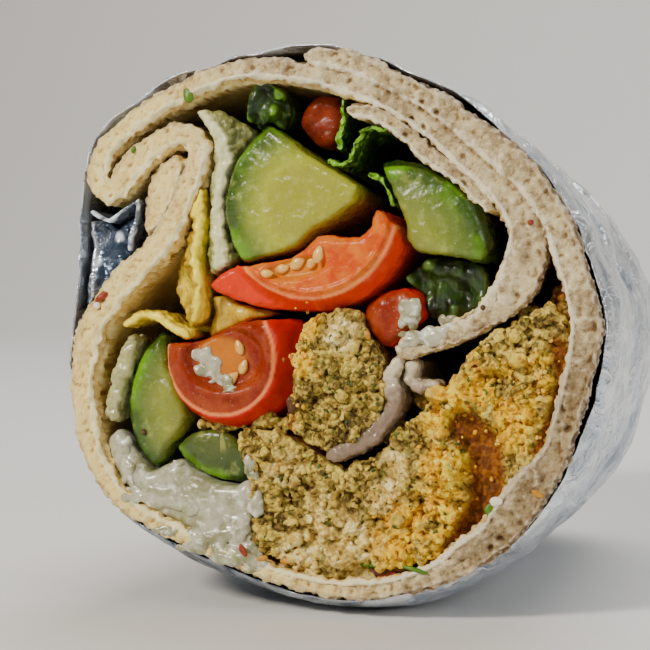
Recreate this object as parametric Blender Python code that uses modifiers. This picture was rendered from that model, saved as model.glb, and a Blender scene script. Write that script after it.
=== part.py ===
"""Half a falafel wrap, cut across and lying on its side in the aluminium foil it was rolled in.

Metres, +Z up. The cut face looks along -Y and the foil closes the far end. The origin is the middle of the
small flat on which the foil rests. Every section is drawn in millimetres in the plane of the cut face, about
the wrap's own axis: x to the right, z up, y measured back from the cut.
"""

import math

import bmesh
import bpy
from mathutils import Vector, noise

MM = 0.001

# Driving dimensions of the wrap, in millimetres
LENGTH = 84.0  # cut face to closed end
AXIS_HEIGHT = 38.5  # middle of the cut face above the surface the wrap lies on
TAPER = 0.0018  # share of its girth the wrap loses with each millimetre behind the cut
END_ROUND = 20.0  # length over which the closed end rounds off
END_SHARE = 0.62  # share of the girth left at the very end
FILLING_END = 4.0  # bread and filling stop this far short of the closed end
FLARE_DEPTH = 9.0  # depth over which the foil swells out behind its rim
FOIL_THICK = 0.4
FOIL_SEGMENTS = 52
SHEET_STEP = 2.2  # spacing of the points along the bread's section
FILLING_STEP = 2.0  # spacing of the points round a piece of filling
STRIP_STEP = 1.8  # spacing along thin leaves and onion

# Base colour, roughness and metallic value of each material
FINISHES = {
    "foil": ((0.78, 0.79, 0.81), 0.22, 1.0),
    "flatbread": ((0.74, 0.62, 0.47), 0.85, 0.0),
    "falafel": ((0.56, 0.40, 0.14), 0.9, 0.0),
    "tomato": ((0.72, 0.10, 0.03), 0.25, 0.0),
    "cucumber": ((0.42, 0.55, 0.16), 0.3, 0.0),
    "lettuce": ((0.74, 0.72, 0.38), 0.45, 0.0),
    "leaf": ((0.07, 0.20, 0.03), 0.45, 0.0),
    "onion": ((0.78, 0.72, 0.68), 0.3, 0.0),
    "sauce": ((0.86, 0.82, 0.76), 0.3, 0.0),
    "crust": ((0.16, 0.05, 0.03), 0.8, 0.0),
}


# ---------------------------------------------------------------- curves in the plane of the cut


def spline(points, step, closed):
    """Points about step apart along a Catmull-Rom curve through the given ones, whatever their dimension."""
    count = len(points)
    made = []
    for i in range(count if closed else count - 1):
        if closed:
            before, start, end, after = (Vector(points[(i + k) % count]) for k in (-1, 0, 1, 2))
        else:
            before, after = Vector(points[max(i - 1, 0)]), Vector(points[min(i + 2, count - 1)])
            start, end = Vector(points[i]), Vector(points[i + 1])
        pieces = max(1, round((end - start).length / step))
        for k in range(pieces):
            t = k / pieces
            made.append(
                0.5
                * (
                    2 * start
                    + (end - before) * t
                    + (2 * before - 5 * start + 4 * end - after) * t**2
                    + (3 * start - before - 3 * end + after) * t**3
                )
            )
    if not closed:
        made.append(Vector(points[-1]))
    return made


def arc(centre, radius, start_deg, end_deg, count):
    """Points along a round stretch of an outline, such as the skin of a slice."""
    angles = [math.radians(start_deg + (end_deg - start_deg) * i / (count - 1)) for i in range(count)]
    return [(centre[0] + radius * math.cos(a), centre[1] + radius * math.sin(a)) for a in angles]


def ribbon(path, step):
    """The closed outline of a sheet seen edge-on. Each point of its path is (x, z, half its thickness)."""
    middle = spline(path, step, closed=False)
    near, far = [], []
    for i, point in enumerate(middle):
        along = (middle[min(i + 1, len(middle) - 1)] - middle[max(i - 1, 0)]).to_2d().normalized()
        across = Vector((-along.y, along.x)) * point.z
        near.append(point.to_2d() + across)
        far.append(point.to_2d() - across)
    tip = middle[-1].to_2d() + (middle[-1] - middle[-2]).to_2d().normalized() * middle[-1].z
    root = middle[0].to_2d() + (middle[0] - middle[1]).to_2d().normalized() * middle[0].z
    return [root, *near, tip, *reversed(far)]


# ---------------------------------------------------------------- the wrap's form along its length


def place(point, depth):
    """A point of a section, in metres in the part's frame.

    The wrap narrows towards its closed end while its underside stays level, and rounds off at that end.
    """
    into_end = max(depth - (LENGTH - END_ROUND), 0) / END_ROUND
    end_share = END_SHARE + (1 - END_SHARE) * math.sqrt(max(1 - into_end**2, 0))
    girth = 1 - TAPER * max(depth, 0)
    x, z = point[0] * end_share * girth, (point[1] * end_share + AXIS_HEIGHT) * girth
    return Vector((x, depth - LENGTH / 2, z)) * MM


# ---------------------------------------------------------------- building


def finish_of(name):
    material = bpy.data.materials.get(name) or bpy.data.materials.new(name)
    material.use_nodes = True
    colour, roughness, metallic = FINISHES[name]
    shader = material.node_tree.nodes["Principled BSDF"]
    shader.inputs["Base Color"].default_value = (*colour, 1)
    shader.inputs["Roughness"].default_value = roughness
    shader.inputs["Metallic"].default_value = metallic
    return material


def add_object(name, bm, finish, wrap):
    """Closes bm into a named object of the wrap's collection."""
    bmesh.ops.recalc_face_normals(bm, faces=bm.faces)
    mesh = bpy.data.meshes.new(name)
    bm.to_mesh(mesh)
    bm.free()
    obj = bpy.data.objects.new(name, mesh)
    mesh.materials.append(finish_of(finish))
    mesh.shade_smooth()
    mesh.set_sharp_from_angle(angle=math.radians(40))
    wrap.objects.link(obj)
    return obj


def rough_front(bm, front_face, relief, seed):
    """Breaks a cut front into facets and moves them in and out, as a crumbled surface is."""
    faces = set(bmesh.ops.triangulate(bm, faces=[front_face])["faces"])
    inner = [e for e in bm.edges if faces.issuperset(e.link_faces)]
    made = bmesh.ops.subdivide_edges(bm, edges=inner, cuts=1)
    for vert in (v for v in made["geom_inner"] if isinstance(v, bmesh.types.BMVert)):
        vert.co.y += relief * MM * noise.noise(vert.co / (5 * MM) + Vector((seed, 0, 0)))


def loft(bm, rings):
    """Joins rings of as many vertices each into one skin."""
    for ring, following in zip(rings, rings[1:]):
        for i in range(len(ring)):
            bm.faces.new((ring[i - 1], ring[i], following[i], following[i - 1]))


def run_through(name, outline, finish, wrap, front, edge=0.5, relief=0.0):
    """A piece of this section that starts at depth front and runs back through the whole wrap.

    edge is how far the rim of its cut front is rounded off, and relief how uneven that front is.
    """
    depths = (front + edge, LENGTH - END_ROUND, LENGTH - FILLING_END)
    bm = bmesh.new()
    rings = [[bm.verts.new(place(p, depth)) for p in outline] for depth in depths]
    loft(bm, rings)
    front_face = bm.faces.new(rings[0])
    bm.faces.new(rings[-1])
    bmesh.ops.recalc_face_normals(bm, faces=bm.faces)
    if edge:
        bmesh.ops.inset_individual(bm, faces=[front_face], thickness=edge * MM, depth=edge * MM)
    if relief:
        rough_front(bm, front_face, relief, seed=len(name))
    return add_object(name, bm, finish, wrap)


# ---------------------------------------------------------------- foil

# The rolled wrap's outside at the cut, clockwise from the top. The foil bridges the bread's fold on the left.
FOIL_SECTION = (
    (-2, 36.7), (5, 35.2), (12, 32.6), (18, 29.2), (23.5, 25), (28.4, 19.9), (32, 14.5), (34.4, 8.5),
    (36.2, 2), (35.6, -5), (33.9, -12), (31.8, -17.6), (28, -24), (22.4, -29.6), (16, -33.4), (8, -35.9),
    (0, -36.5), (-8, -35.2), (-16, -32.7), (-24, -29.6), (-31.2, -25.6), (-35.4, -19.6), (-37.3, -12.5),
    (-37.7, -5), (-36.9, 3), (-35.8, 11), (-35.5, 18), (-34.3, 22.6), (-31.6, 26.6), (-27.2, 29.8),
    (-20.5, 33), (-14, 35), (-9, 35.8),
)  # fmt: skip

# By angle about the axis, anticlockwise from the left: depth of the foil's rim behind the cut, and how far
# the foil swells out behind that rim
RIM = ((-180, 0.2, 0.6), (-135, 0.6, 3.2), (-90, 0.8, 2.6), (-45, 2.4, 1.4), (0, 3.4, 1.0), (45, 1.8, 0.3),
       (90, 0.6, 0.2), (135, 0.4, 0.3), (180, 0.2, 0.6))  # fmt: skip


def section_radius(section, angle):
    """Distance from the axis to a closed section in this direction."""
    ray = Vector((math.cos(angle), math.sin(angle)))
    best = 0.0
    for i, start in enumerate(section):
        side = section[(i + 1) % len(section)] - start
        turn = ray.cross(side)
        if abs(turn) < 1e-9:
            continue
        along_ray, along_side = start.cross(side) / turn, start.cross(ray) / turn
        if along_ray > 0 and -1e-6 <= along_side <= 1 + 1e-6:
            best = max(best, along_ray)
    return best


def rim_at(angle):
    """Depth of the rim and swell of the foil in this direction."""
    degrees = math.degrees(angle)
    for low, high in zip(RIM, RIM[1:]):
        if degrees <= high[0]:
            share = (degrees - low[0]) / (high[0] - low[0])
            share = share * share * (3 - 2 * share)
            return [low[k] + (high[k] - low[k]) * share for k in (1, 2)]
    return RIM[-1][1:]


def make_foil(wrap):
    """The open-ended foil wrapper: one skin from its rim to its closed end, given a wall.

    It is flattened where it meets the surface that the wrap lies on.
    """
    section = spline(FOIL_SECTION, 2.0, closed=True)
    angles = [math.radians(-180 + 360 * i / FOIL_SEGMENTS) for i in range(FOIL_SEGMENTS)]
    rounded = [LENGTH - END_ROUND * (1 - math.sin(math.radians(a))) for a in (0, 30, 55, 75, 90)]
    bm = bmesh.new()
    rings = []
    for depth in [0, FLARE_DEPTH / 3, FLARE_DEPTH, *rounded]:
        swell_share = math.sin(math.pi / 2 * min(depth / FLARE_DEPTH, 1))
        ring = []
        for angle in angles:
            rim_depth, swell = rim_at(angle)
            radius = section_radius(section, angle) + swell * swell_share
            starts = rim_depth * max(1 - depth / FLARE_DEPTH, 0)
            point = place((radius * math.cos(angle), radius * math.sin(angle)), depth + starts)
            point.z = max(point.z, 0)
            ring.append(bm.verts.new(point))
        rings.append(ring)
    loft(bm, rings)
    closed_end = bm.faces.new(rings[-1])
    bmesh.ops.recalc_face_normals(bm, faces=bm.faces)
    bmesh.ops.inset_individual(bm, faces=[closed_end], thickness=8 * MM, depth=-1.5 * MM)
    foil = add_object("foil_wrapper", bm, "foil", wrap)
    wall = foil.modifiers.new("wall", "SOLIDIFY")
    wall.thickness = FOIL_THICK * MM
    wall.offset = -1
    return foil


# The foil's starting edge, tucked into the fold of the bread: (x, z, half its thickness)
FOIL_TUCK = (
    (-33.9, 14.6, 0.25), (-31.4, 13.4, 0.25), (-29.2, 14.9, 0.25), (-27.2, 16.2, 0.3),
    (-27.4, 13.6, 0.3), (-28.4, 11.2, 0.25), (-28.5, 9.6, 0.25),
)  # fmt: skip


# The foil's slack, bunched behind that edge in the hollow between the fold and the wrapper
FOIL_SLACK = (
    (-35.1, 13.6), (-33.9, 13.7), (-31.5, 12.6), (-29.4, 13.9), (-28.3, 14.3), (-28.4, 13), (-29.3, 11.2),
    (-29.5, 9.1), (-31.6, 6.3), (-33.9, 3.5), (-35.3, 1.7), (-35.8, 2.6), (-35.6, 6), (-35.2, 10),
)  # fmt: skip


# ---------------------------------------------------------------- bread

# The rolled sheet from its free edge at the top, clockwise once round the outside, through the fold on the
# left and once more round the inside, to its end in the middle of the filling: (x, z, half its thickness)
BREAD_SHEET = (
    (-2.6, 34.8, 0.9), (1.5, 34.3, 1.1), (5, 32.9, 1.15), (10, 30.6, 1.2), (14, 28.4, 1.3), (18, 25.5, 1.5),
    (22, 22.5, 1.6), (25.5, 19.3, 1.6), (28.3, 15.6, 1.6), (30.3, 12, 1.6), (31.6, 8, 1.6), (32.8, 4, 1.6),
    (33.4, 0, 1.7), (32.7, -5, 1.5), (31.4, -10, 1.4), (30, -15, 1.4), (27.6, -19.3, 1.7), (23.9, -24, 2.2),
    (20.3, -28, 1.7), (16, -31, 1.3), (11, -33.1, 1.1), (5.5, -34.4, 0.9), (0, -34.6, 0.9),
    (-5, -33.9, 0.8), (-10, -32.5, 0.8), (-15, -31, 0.8), (-20, -29.2, 0.85), (-25, -27, 0.9),
    (-29.2, -24.6, 1.0), (-32.4, -21, 1.1), (-34.4, -16.5, 1.2), (-35.3, -11.5, 1.3), (-35.4, -7, 1.4),
    (-34.8, -3, 1.5), (-33.4, 0.3, 1.5), (-31.1, 3.4, 1.5), (-28.6, 6.2, 1.5), (-25.8, 8.6, 1.4),
    (-23.4, 11.2, 1.3), (-21.7, 14.2, 1.2), (-20.2, 17.6, 1.2), (-18.9, 20.8, 1.2), (-18.5, 23, 1.25),
    (-19.6, 24.7, 1.25), (-21.5, 25, 1.25), (-24, 24, 1.3), (-26.8, 22.1, 1.3), (-29, 19.7, 1.35),
    (-30, 17.9, 1.2), (-31.5, 17, 1.1), (-32.9, 18, 1.0), (-33.2, 20.2, 1.0), (-31.6, 23.4, 1.0),
    (-28.5, 26.3, 1.0), (-24.4, 28.7, 1.0), (-19.5, 31.2, 1.0), (-14.5, 33, 1.0), (-9.5, 33.7, 1.0),
    (-5, 33, 0.9), (0, 31.7, 0.9), (5, 30.1, 0.9), (10, 27.6, 0.9), (14, 24.8, 0.9), (17.5, 21.7, 1.0),
    (21, 18.6, 1.1), (23.9, 15.6, 1.3), (25.7, 12.4, 1.7), (26, 9, 2.1), (25.1, 6, 2.1), (22.7, 3.4, 1.6),
    (19.5, 1, 1.2), (15.5, -1.1, 1.0), (12, -2.3, 1.0), (9.9, -2.9, 0.8),
)  # fmt: skip

# The thin ply that has come away from the inside of the sheet, leaving a bubble between them
BREAD_PLY = (
    (3, 27.8, 0.5), (5, 27.8, 0.6), (8, 26.4, 0.65), (10.5, 24.5, 0.7), (12.4, 22.4, 0.7),
    (14.8, 20.9, 0.7), (17.3, 19.2, 0.65), (19.3, 17.2, 0.6), (20.9, 15.5, 0.5),
)  # fmt: skip

# The slack of the sheet gathered inside its fold on the left
BREAD_GATHER = (
    (-25.9, 16.8), (-25.5, 19.4), (-24.2, 21.3), (-22, 22.3), (-20.9, 21.4), (-21.6, 18.6), (-23, 15.3),
    (-24.6, 12.9), (-26.2, 11.9), (-26.5, 14.2),
)  # fmt: skip


def make_bread(wrap):
    run_through("flatbread_sheet", ribbon(BREAD_SHEET, SHEET_STEP), "flatbread", wrap, front=-0.6, edge=0.35)
    run_through("flatbread_ply", ribbon(BREAD_PLY, STRIP_STEP), "flatbread", wrap, front=0.2, edge=0.2)
    run_through("flatbread_gather", spline(BREAD_GATHER, FILLING_STEP, True), "flatbread", wrap, front=2.5)


# ---------------------------------------------------------------- filling

# A small cucumber was cut into rounds, and the rounds into halves and thirds
CUCUMBER_RADIUS = 12.3

CUCUMBER_PIECES = {
    # name: (front depth, outline)
    "cucumber_half_slice": (
        -1.0,
        [*arc((-2.5, 15.3), CUCUMBER_RADIUS, 121, 215, 8), (-8.4, 9), (-4.6, 10.4), (-1.9, 12.6),
         (0.9, 14.2), (3.2, 16.2), (3.6, 17.9), (-1.6, 20.9)],
    ),
    "cucumber_third_slice": (
        -0.4,
        [(6.6, 20.9), (8.4, 21.3), (11, 20.9), (14.2, 19.3), (17.2, 17.6), (19.3, 15.6), (20.6, 13),
         (20.9, 10.6), (20, 8.6), (17, 9.1), (13.5, 9.6), (11.3, 9.8), (10.4, 11.4), (10.2, 13.4),
         (9.2, 15.8), (8.1, 18.2)],
    ),
    "cucumber_side_slice": (
        1.2,
        [*arc((-17.4, -11.3), CUCUMBER_RADIUS, 127, 224, 8), (-24.7, -18.6), (-23.8, -16.6), (-21.9, -14.6),
         (-20.9, -12.5), (-22.3, -9.4), (-23.6, -6)],
    ),
    "cucumber_end_slice": (
        2.2,
        [(-22.7, -16.8), (-20.8, -15.2), (-17.6, -14.5), (-14.6, -15.4), (-13, -17.6), (-12.4, -20.3),
         (-13.6, -21.5), (-16.6, -21.1), (-19.6, -19.9), (-22, -18.2)],
    ),
}  # fmt: skip

TOMATO_PIECES = {
    "tomato_crescent": (
        -2.0,
        [(-17.3, 4.9), (-15.6, 6.6), (-13.2, 7.6), (-10.6, 7.5), (-8.4, 8.2), (-5.4, 8.6), (-3.4, 9.6),
         (-1.4, 11.6), (1.6, 11.5), (4.4, 11.4), (5.9, 12.8), (6.5, 15.1), (7.6, 14.5), (8.9, 13),
         *arc((-2.6, 14.6), 12.9, -18, -78, 6), (-4, 1.9), (-9.6, 2.1), (-14.2, 3.2)],
    ),
    "tomato_half": (
        -1.0,
        [(-23, -3), *arc((-14.2, -5.4), 8.7, 183, 318, 10), (-6, -8.6), (-5.3, -5.2), (-5, -1.8),
         (-5.3, 0.4), (-8.2, 0.6), (-12.4, 0.1), (-16.2, -1.5), (-19.6, -2.7)],
    ),
    "tomato_wedge": (
        1.0,
        [(4.8, 2.2), (6.8, 3.6), (9.4, 4.6), (11, 3.8), (11.3, 1.6), (10, 0.2), (8.7, -1.2), (7.4, -2.2),
         (5.8, -1.2), (4.7, 0.2)],
    ),
    "tomato_chunk": (
        3.0,
        [(-5.4, 26.6), (-4.8, 28.6), (-3, 30), (-0.9, 30), (0.1, 28), (-0.2, 25.6), (-1.4, 23.6),
         (-3.4, 24.2)],
    ),
}  # fmt: skip

FALAFEL_PIECES = {
    "falafel_large": (
        0.2,
        [(28.5, 2.6), (26, 1.4), (23.2, -0.1), (20.6, -1.8), (18.6, -3.6), (17, -6), (14.8, -8.4),
         (12.4, -10.8), (9.8, -13.6), (6.6, -16.6), (3.2, -18.7), (0.2, -18.9), (-3, -17.2), (-6, -15.6),
         (-9, -14.5), (-11.6, -14.4), (-13.3, -14.9), (-12.4, -17.2), (-11.8, -19.6), (-11, -21.8),
         (-10.9, -24.4), (-11, -28), (-8.6, -30.7), (-4.6, -32),
         (0, -32.9), (4.4, -31.1), (9, -30.8), (13.6, -29.8), (17.4, -27.6), (20, -25), (21.6, -22.2),
         (23.8, -20.2), (25.6, -18), (27.6, -15.2), (28.9, -11), (30.2, -6), (31, -1.6), (30.4, 1.6)],
    ),
    "falafel_small": (
        -1.4,
        [(-0.6, 1.1), (2, 2.1), (3.9, 1.4), (4, -0.9), (5.6, -2.2), (6.5, -4.4), (6.7, -7.6), (7.3, -9.9),
         (5.7, -12.2), (3, -14.4), (-0.4, -15.4), (-3.4, -14.9), (-5.6, -13.6), (-5, -10.8), (-4.4, -7.4),
         (-4.3, -3), (-3.4, -0.2)],
    ),
}  # fmt: skip

# Thin things, drawn as paths of (x, z, half the thickness)
STRIPS = {
    # name: (finish, front depth, path)
    "onion_strip": (
        "onion",
        -0.8,
        [(9.1, -4.5, 0.6), (7.9, -6.4, 0.65), (8.8, -9.4, 0.8), (7, -12.7, 0.85), (3.8, -15.5, 0.85),
         (0.2, -16.9, 0.8)],
    ),
    "onion_curl": (
        "onion",
        0.4,
        [(10.6, -4.9, 0.5), (10.2, -6.7, 0.6), (11.6, -8, 0.6), (13.6, -7.6, 0.5)],
    ),
    "onion_slice": (
        "onion",
        1.0,
        [(-28.8, -2.6, 0.6), (-29.5, -4.6, 0.9), (-30.6, -7.4, 0.9), (-31.4, -10.4, 0.8),
         (-31.7, -13, 0.6)],
    ),
    "lettuce_shred": (
        "lettuce",
        0.0,
        [(-28.8, -0.3, 0.35), (-26.6, 0.9, 0.45), (-24.4, 0.8, 0.45), (-22.2, -0.7, 0.45),
         (-20.2, -1.7, 0.4)],
    ),
    "leaf_upright": (
        "leaf",
        0.6,
        [(1.1, 29.4, 0.4), (1.3, 27.2, 0.45), (0.9, 25.4, 0.6), (0.7, 24, 0.5), (0.9, 22.9, 0.4)],
    ),
    "leaf_curl": (
        "leaf",
        -0.6,
        [(7.2, 25.1, 0.4), (5.6, 25.6, 0.4), (4.2, 24.9, 0.45), (3.4, 23.3, 0.5), (2.8, 21.6, 0.5),
         (1.3, 20.6, 0.5), (-0.4, 21.4, 0.4)],
    ),
    "leaf_stem": (
        "leaf",
        0.8,
        [(4.9, 19.6, 0.55), (6.3, 19, 0.5), (7.2, 17.4, 0.45), (8.1, 15.6, 0.4)],
    ),
}  # fmt: skip

LEAVES = {
    # name: (finish, front depth, outline)
    "lettuce_rib": (
        "lettuce",
        0.6,
        [(-18.9, 28), (-16.2, 27.9), (-13.6, 26.6), (-12, 25.2), (-13.3, 22.2), (-15, 18.5), (-15.3, 15),
         (-14.8, 11.2), (-13.6, 8.6), (-15.4, 7.6), (-17.3, 6.4), (-18, 8.8), (-17.4, 12), (-17.1, 15),
         (-17.3, 18.2), (-16.6, 20.6), (-16.4, 23), (-16.9, 25.4)],
    ),
    "lettuce_leaf": (
        "lettuce",
        0.2,
        [(-18.1, 17.9), (-17.8, 16.6), (-17.7, 14.2), (-18.2, 11.6), (-18.8, 8.6), (-18.3, 5.4),
         (-18.4, 2.4), (-19, 0.3), (-20.3, -0.5), (-21.6, 1), (-23, 4.2), (-22.2, 8), (-20.8, 10.9),
         (-19.8, 13.8), (-18.9, 16.4)],
    ),
    "lettuce_under": (
        "lettuce",
        3.0,
        [(-17.7, 3.5), (-16.2, 3.6), (-14, 2.6), (-11, 1.8), (-9.2, 1.5), (-10.4, 0.95), (-12.7, 0.55),
         (-15.4, -0.5), (-18.2, -1.8), (-18.3, -0.6), (-17.6, 1.2)],
    ),
    "leaf_folded": (
        "leaf",
        1.6,
        [(-11.3, 31.6), (-9.4, 32), (-7.6, 30.4), (-6.6, 27.6), (-7.7, 25.9), (-9.2, 26.7), (-11, 25.9),
         (-12, 27), (-12.1, 29.6)],
    ),
    "leaf_bundle": (
        "leaf",
        3.2,
        [(9.4, 6.4), (10.6, 7.8), (13.4, 9), (16.6, 8.6), (19.4, 8), (20.1, 6.2), (20.2, 3.8), (17.4, 1.9),
         (14.2, 0.5), (12.2, 1.3), (11.9, 3.8), (10.6, 5.2)],
    ),
}  # fmt: skip

SAUCE = (
    (-32.4, -16.4), (-31, -15.2), (-29.7, -16.6), (-28, -19), (-26.3, -20.9), (-24, -19.8), (-22.2, -19),
    (-19.8, -20.6), (-16.8, -21.8), (-13.5, -22.2), (-11.9, -21.2), (-11.6, -25), (-11.7, -28),
    (-10.6, -30.3), (-13, -30), (-17, -28.8), (-21, -27.2), (-25, -25.3), (-28.5, -22.9), (-31, -19.9),
)  # fmt: skip

CRUST_CRUMB = ((5, -31.9), (7, -31.5), (9, -31.3), (10.2, -31.2), (9.6, -31.7), (8, -32.4), (5.8, -32.8))


def make_filling(wrap):
    for name, (front, outline) in CUCUMBER_PIECES.items():
        run_through(name, spline(outline, FILLING_STEP, True), "cucumber", wrap, front)
    for name, (front, outline) in TOMATO_PIECES.items():
        run_through(name, spline(outline, FILLING_STEP, True), "tomato", wrap, front, edge=0.7)
    for name, (front, outline) in FALAFEL_PIECES.items():
        run_through(name, spline(outline, FILLING_STEP, True), "falafel", wrap, front, relief=3.0)
    for name, (finish, front, path) in STRIPS.items():
        run_through(name, ribbon(path, STRIP_STEP), finish, wrap, front, edge=0.15)
    for name, (finish, front, outline) in LEAVES.items():
        run_through(name, spline(outline, FILLING_STEP, True), finish, wrap, front, edge=0.3)
    run_through("tahini_sauce", spline(SAUCE, FILLING_STEP, True), "sauce", wrap, front=1.4)
    run_through("crust_crumb", spline(CRUST_CRUMB, FILLING_STEP, True), "crust", wrap, front=0.6, edge=0.3)


def main():
    for obj in list(bpy.data.objects):
        bpy.data.objects.remove(obj)
    wrap = bpy.data.collections.new("falafel_wrap")
    bpy.context.scene.collection.children.link(wrap)
    make_foil(wrap)
    run_through("foil_tuck", ribbon(FOIL_TUCK, STRIP_STEP), "foil", wrap, front=-0.2, edge=0)
    run_through("foil_slack", spline(FOIL_SLACK, FILLING_STEP, True), "foil", wrap, front=2.2, relief=2.5)
    make_bread(wrap)
    make_filling(wrap)


main()
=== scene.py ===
"""Dresses the falafel wrap's frame: foil, flatbread, falafel, salad and sauce, on a pale studio floor."""

import math
import random

import bmesh
import bpy
from bpy.props import FloatProperty, FloatVectorProperty, IntProperty, PointerProperty
from bpy.types import Operator, Panel, PropertyGroup
from mathutils import Euler, Matrix, Vector, noise
from mathutils.bvhtree import BVHTree


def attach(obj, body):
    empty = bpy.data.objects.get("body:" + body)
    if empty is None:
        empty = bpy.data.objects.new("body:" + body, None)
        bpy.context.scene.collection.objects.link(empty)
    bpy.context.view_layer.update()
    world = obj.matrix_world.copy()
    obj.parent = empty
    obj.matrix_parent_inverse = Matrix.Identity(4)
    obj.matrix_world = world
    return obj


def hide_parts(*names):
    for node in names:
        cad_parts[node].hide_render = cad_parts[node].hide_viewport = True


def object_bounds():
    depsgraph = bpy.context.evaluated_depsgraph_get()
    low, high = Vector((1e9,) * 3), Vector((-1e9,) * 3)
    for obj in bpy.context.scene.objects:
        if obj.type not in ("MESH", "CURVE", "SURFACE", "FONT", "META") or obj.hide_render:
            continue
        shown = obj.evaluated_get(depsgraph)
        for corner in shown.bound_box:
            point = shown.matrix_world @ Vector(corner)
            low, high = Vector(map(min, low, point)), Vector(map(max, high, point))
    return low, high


bl_info = {
    "name": "Falafel Wrap",
    "version": (1, 0, 0),
    "blender": (4, 5, 0),
    "location": "View3D > Sidebar > Wrap",
    "description": "Makes the foil, bread, filling and studio of a cut falafel wrap on its frame",
    "category": "Add Mesh",
}

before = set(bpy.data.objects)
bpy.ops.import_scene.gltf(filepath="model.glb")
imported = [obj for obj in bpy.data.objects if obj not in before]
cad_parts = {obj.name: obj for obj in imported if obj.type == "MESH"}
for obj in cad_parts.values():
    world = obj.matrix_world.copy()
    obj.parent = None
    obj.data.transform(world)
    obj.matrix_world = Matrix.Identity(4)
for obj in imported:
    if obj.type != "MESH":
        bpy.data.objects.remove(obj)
CAD_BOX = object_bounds()

MM = 0.001
CUT_Y = -42 * MM  # plane of the cut
AXIS_HEIGHT = 38.5  # middle of the cut face, in millimetres above the floor
TAPER = 0.0018  # share of its girth the wrap loses with each millimetre behind the cut
LENGTH = 84.0

fronts = {}  # the finished front of each piece, for what lies on it


# ---------------------------------------------------------------- measures


def to_section(co):
    """Millimetres right of and above the wrap's axis, and behind the cut."""
    depth = (co.y - CUT_Y) / MM
    girth = 1 - TAPER * max(depth, 0)
    return co.x / MM / girth, co.z / MM / girth - AXIS_HEIGHT, depth


def from_section(x, z, depth):
    girth = 1 - TAPER * max(depth, 0)
    return Vector((x * girth, depth, (z + AXIS_HEIGHT) * girth)) * MM + Vector((0, CUT_Y, 0))


def tint(code):
    """Linear colour of a six-digit screen colour."""
    parts = [int(code[i : i + 2], 16) / 255 for i in (0, 2, 4)]
    return tuple(p / 12.92 if p <= 0.04045 else ((p + 0.055) / 1.055) ** 2.4 for p in parts)


def ease(low, high, value):
    """0 below low, 1 above high, and a smooth step between them."""
    share = min(max((value - low) / (high - low), 0), 1)
    return share * share * (3 - 2 * share)


def rough(co, size, octaves=3, seed=0):
    """Fractal noise, about -1 to 1, with features of about this many millimetres."""
    return noise.fractal(co / (size * MM) + Vector((seed, 1.7 * seed, -seed)), 0.9, 2.1, octaves)


def cell(co, size, seed=0):
    """Distances to the nearest two of scattered points, in shares of their spacing."""
    near, _ = noise.voronoi(co / (size * MM) + Vector((seed, -seed, 0.6 * seed)))
    return near[0], near[1]


# ---------------------------------------------------------------- meshes


def copy_of(node):
    """The node's triangles merged into one skin."""
    bm = bmesh.new()
    bm.from_mesh(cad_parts[node].data)
    bmesh.ops.remove_doubles(bm, verts=bm.verts, dist=1e-6)
    return bm


def remeshed(bm, voxel):
    """One even skin round everything in bm."""
    mesh = bpy.data.meshes.new("lump")
    bm.to_mesh(mesh)
    bm.free()
    obj = bpy.data.objects.new("lump", mesh)
    bpy.context.scene.collection.objects.link(obj)
    remesh = obj.modifiers.new("remesh", "REMESH")
    remesh.mode = "VOXEL"
    remesh.voxel_size = voxel * MM
    evaluated = obj.evaluated_get(bpy.context.evaluated_depsgraph_get())
    made = bmesh.new()
    made.from_mesh(evaluated.to_mesh())
    evaluated.to_mesh_clear()
    bpy.data.objects.remove(obj)
    bpy.data.meshes.remove(mesh)
    return made


def fine_front(node, voxel, keep, squeeze=30, add=None, grow=None):
    """A fine even skin over the node's front, to keep millimetres back, stretched out behind that.

    grow fattens the node first, as relief does; add puts more shapes in, to be joined with it.
    """
    bm = copy_of(node)
    if grow:
        relief(bm, grow)
    end = max(v.co.y for v in bm.verts)
    border = min(v.co.y for v in bm.verts) + keep * MM
    everything = bm.verts[:] + bm.edges[:] + bm.faces[:]
    bmesh.ops.bisect_plane(bm, geom=everything, plane_co=(0, border, 0), plane_no=(0, 1, 0))
    space = Matrix.Translation((0, -border, 0))
    behind = [v for v in bm.verts if v.co.y > border + 1e-8]
    bmesh.ops.scale(bm, vec=(1, 1 / squeeze, 1), space=space, verts=behind)
    if add:
        add(bm)
    bm = remeshed(bm, voxel)
    behind = [v for v in bm.verts if v.co.y > border]
    bmesh.ops.scale(bm, vec=(1, squeeze, 1), space=space, verts=behind)
    for vert in behind:
        x, z, depth = to_section(vert.co)
        vert.co -= Vector((x, 0, z)).normalized() * (0.6 * MM * ease(9, 20, depth))
        vert.co.y = min(vert.co.y, end - 0.8 * MM * ease(30, 50, depth))
    return bm


def soften(bm, times, factor=0.5):
    for _ in range(times):
        bmesh.ops.smooth_vert(bm, verts=bm.verts, factor=factor, use_axis_x=True, use_axis_y=True, use_axis_z=True)


def shift(bm, move):
    """Moves each vertex by move(vertex, x, z, depth), a vector in metres."""
    bm.normal_update()
    moves = [(v, move(v, *to_section(v.co))) for v in bm.verts]
    for vert, step in moves:
        vert.co += step


def relief(bm, height):
    """Raises each vertex along its normal by height(vertex, x, z, depth), in millimetres."""
    shift(bm, lambda v, x, z, d: v.normal * (height(v, x, z, d) * MM))


def recess(bm, keep, depth_at):
    """Sets the front back by depth_at(x, z) millimetres, less and less towards keep millimetres back."""
    border = to_section(Vector((0, min(v.co.y for v in bm.verts), 0)))[2]

    def move(vert, x, z, depth):
        share = max(1 - (depth - border) / keep, 0)
        return Vector((0, depth_at(x, z) * share * MM, 0)) if share else Vector()

    shift(bm, move)


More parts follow.
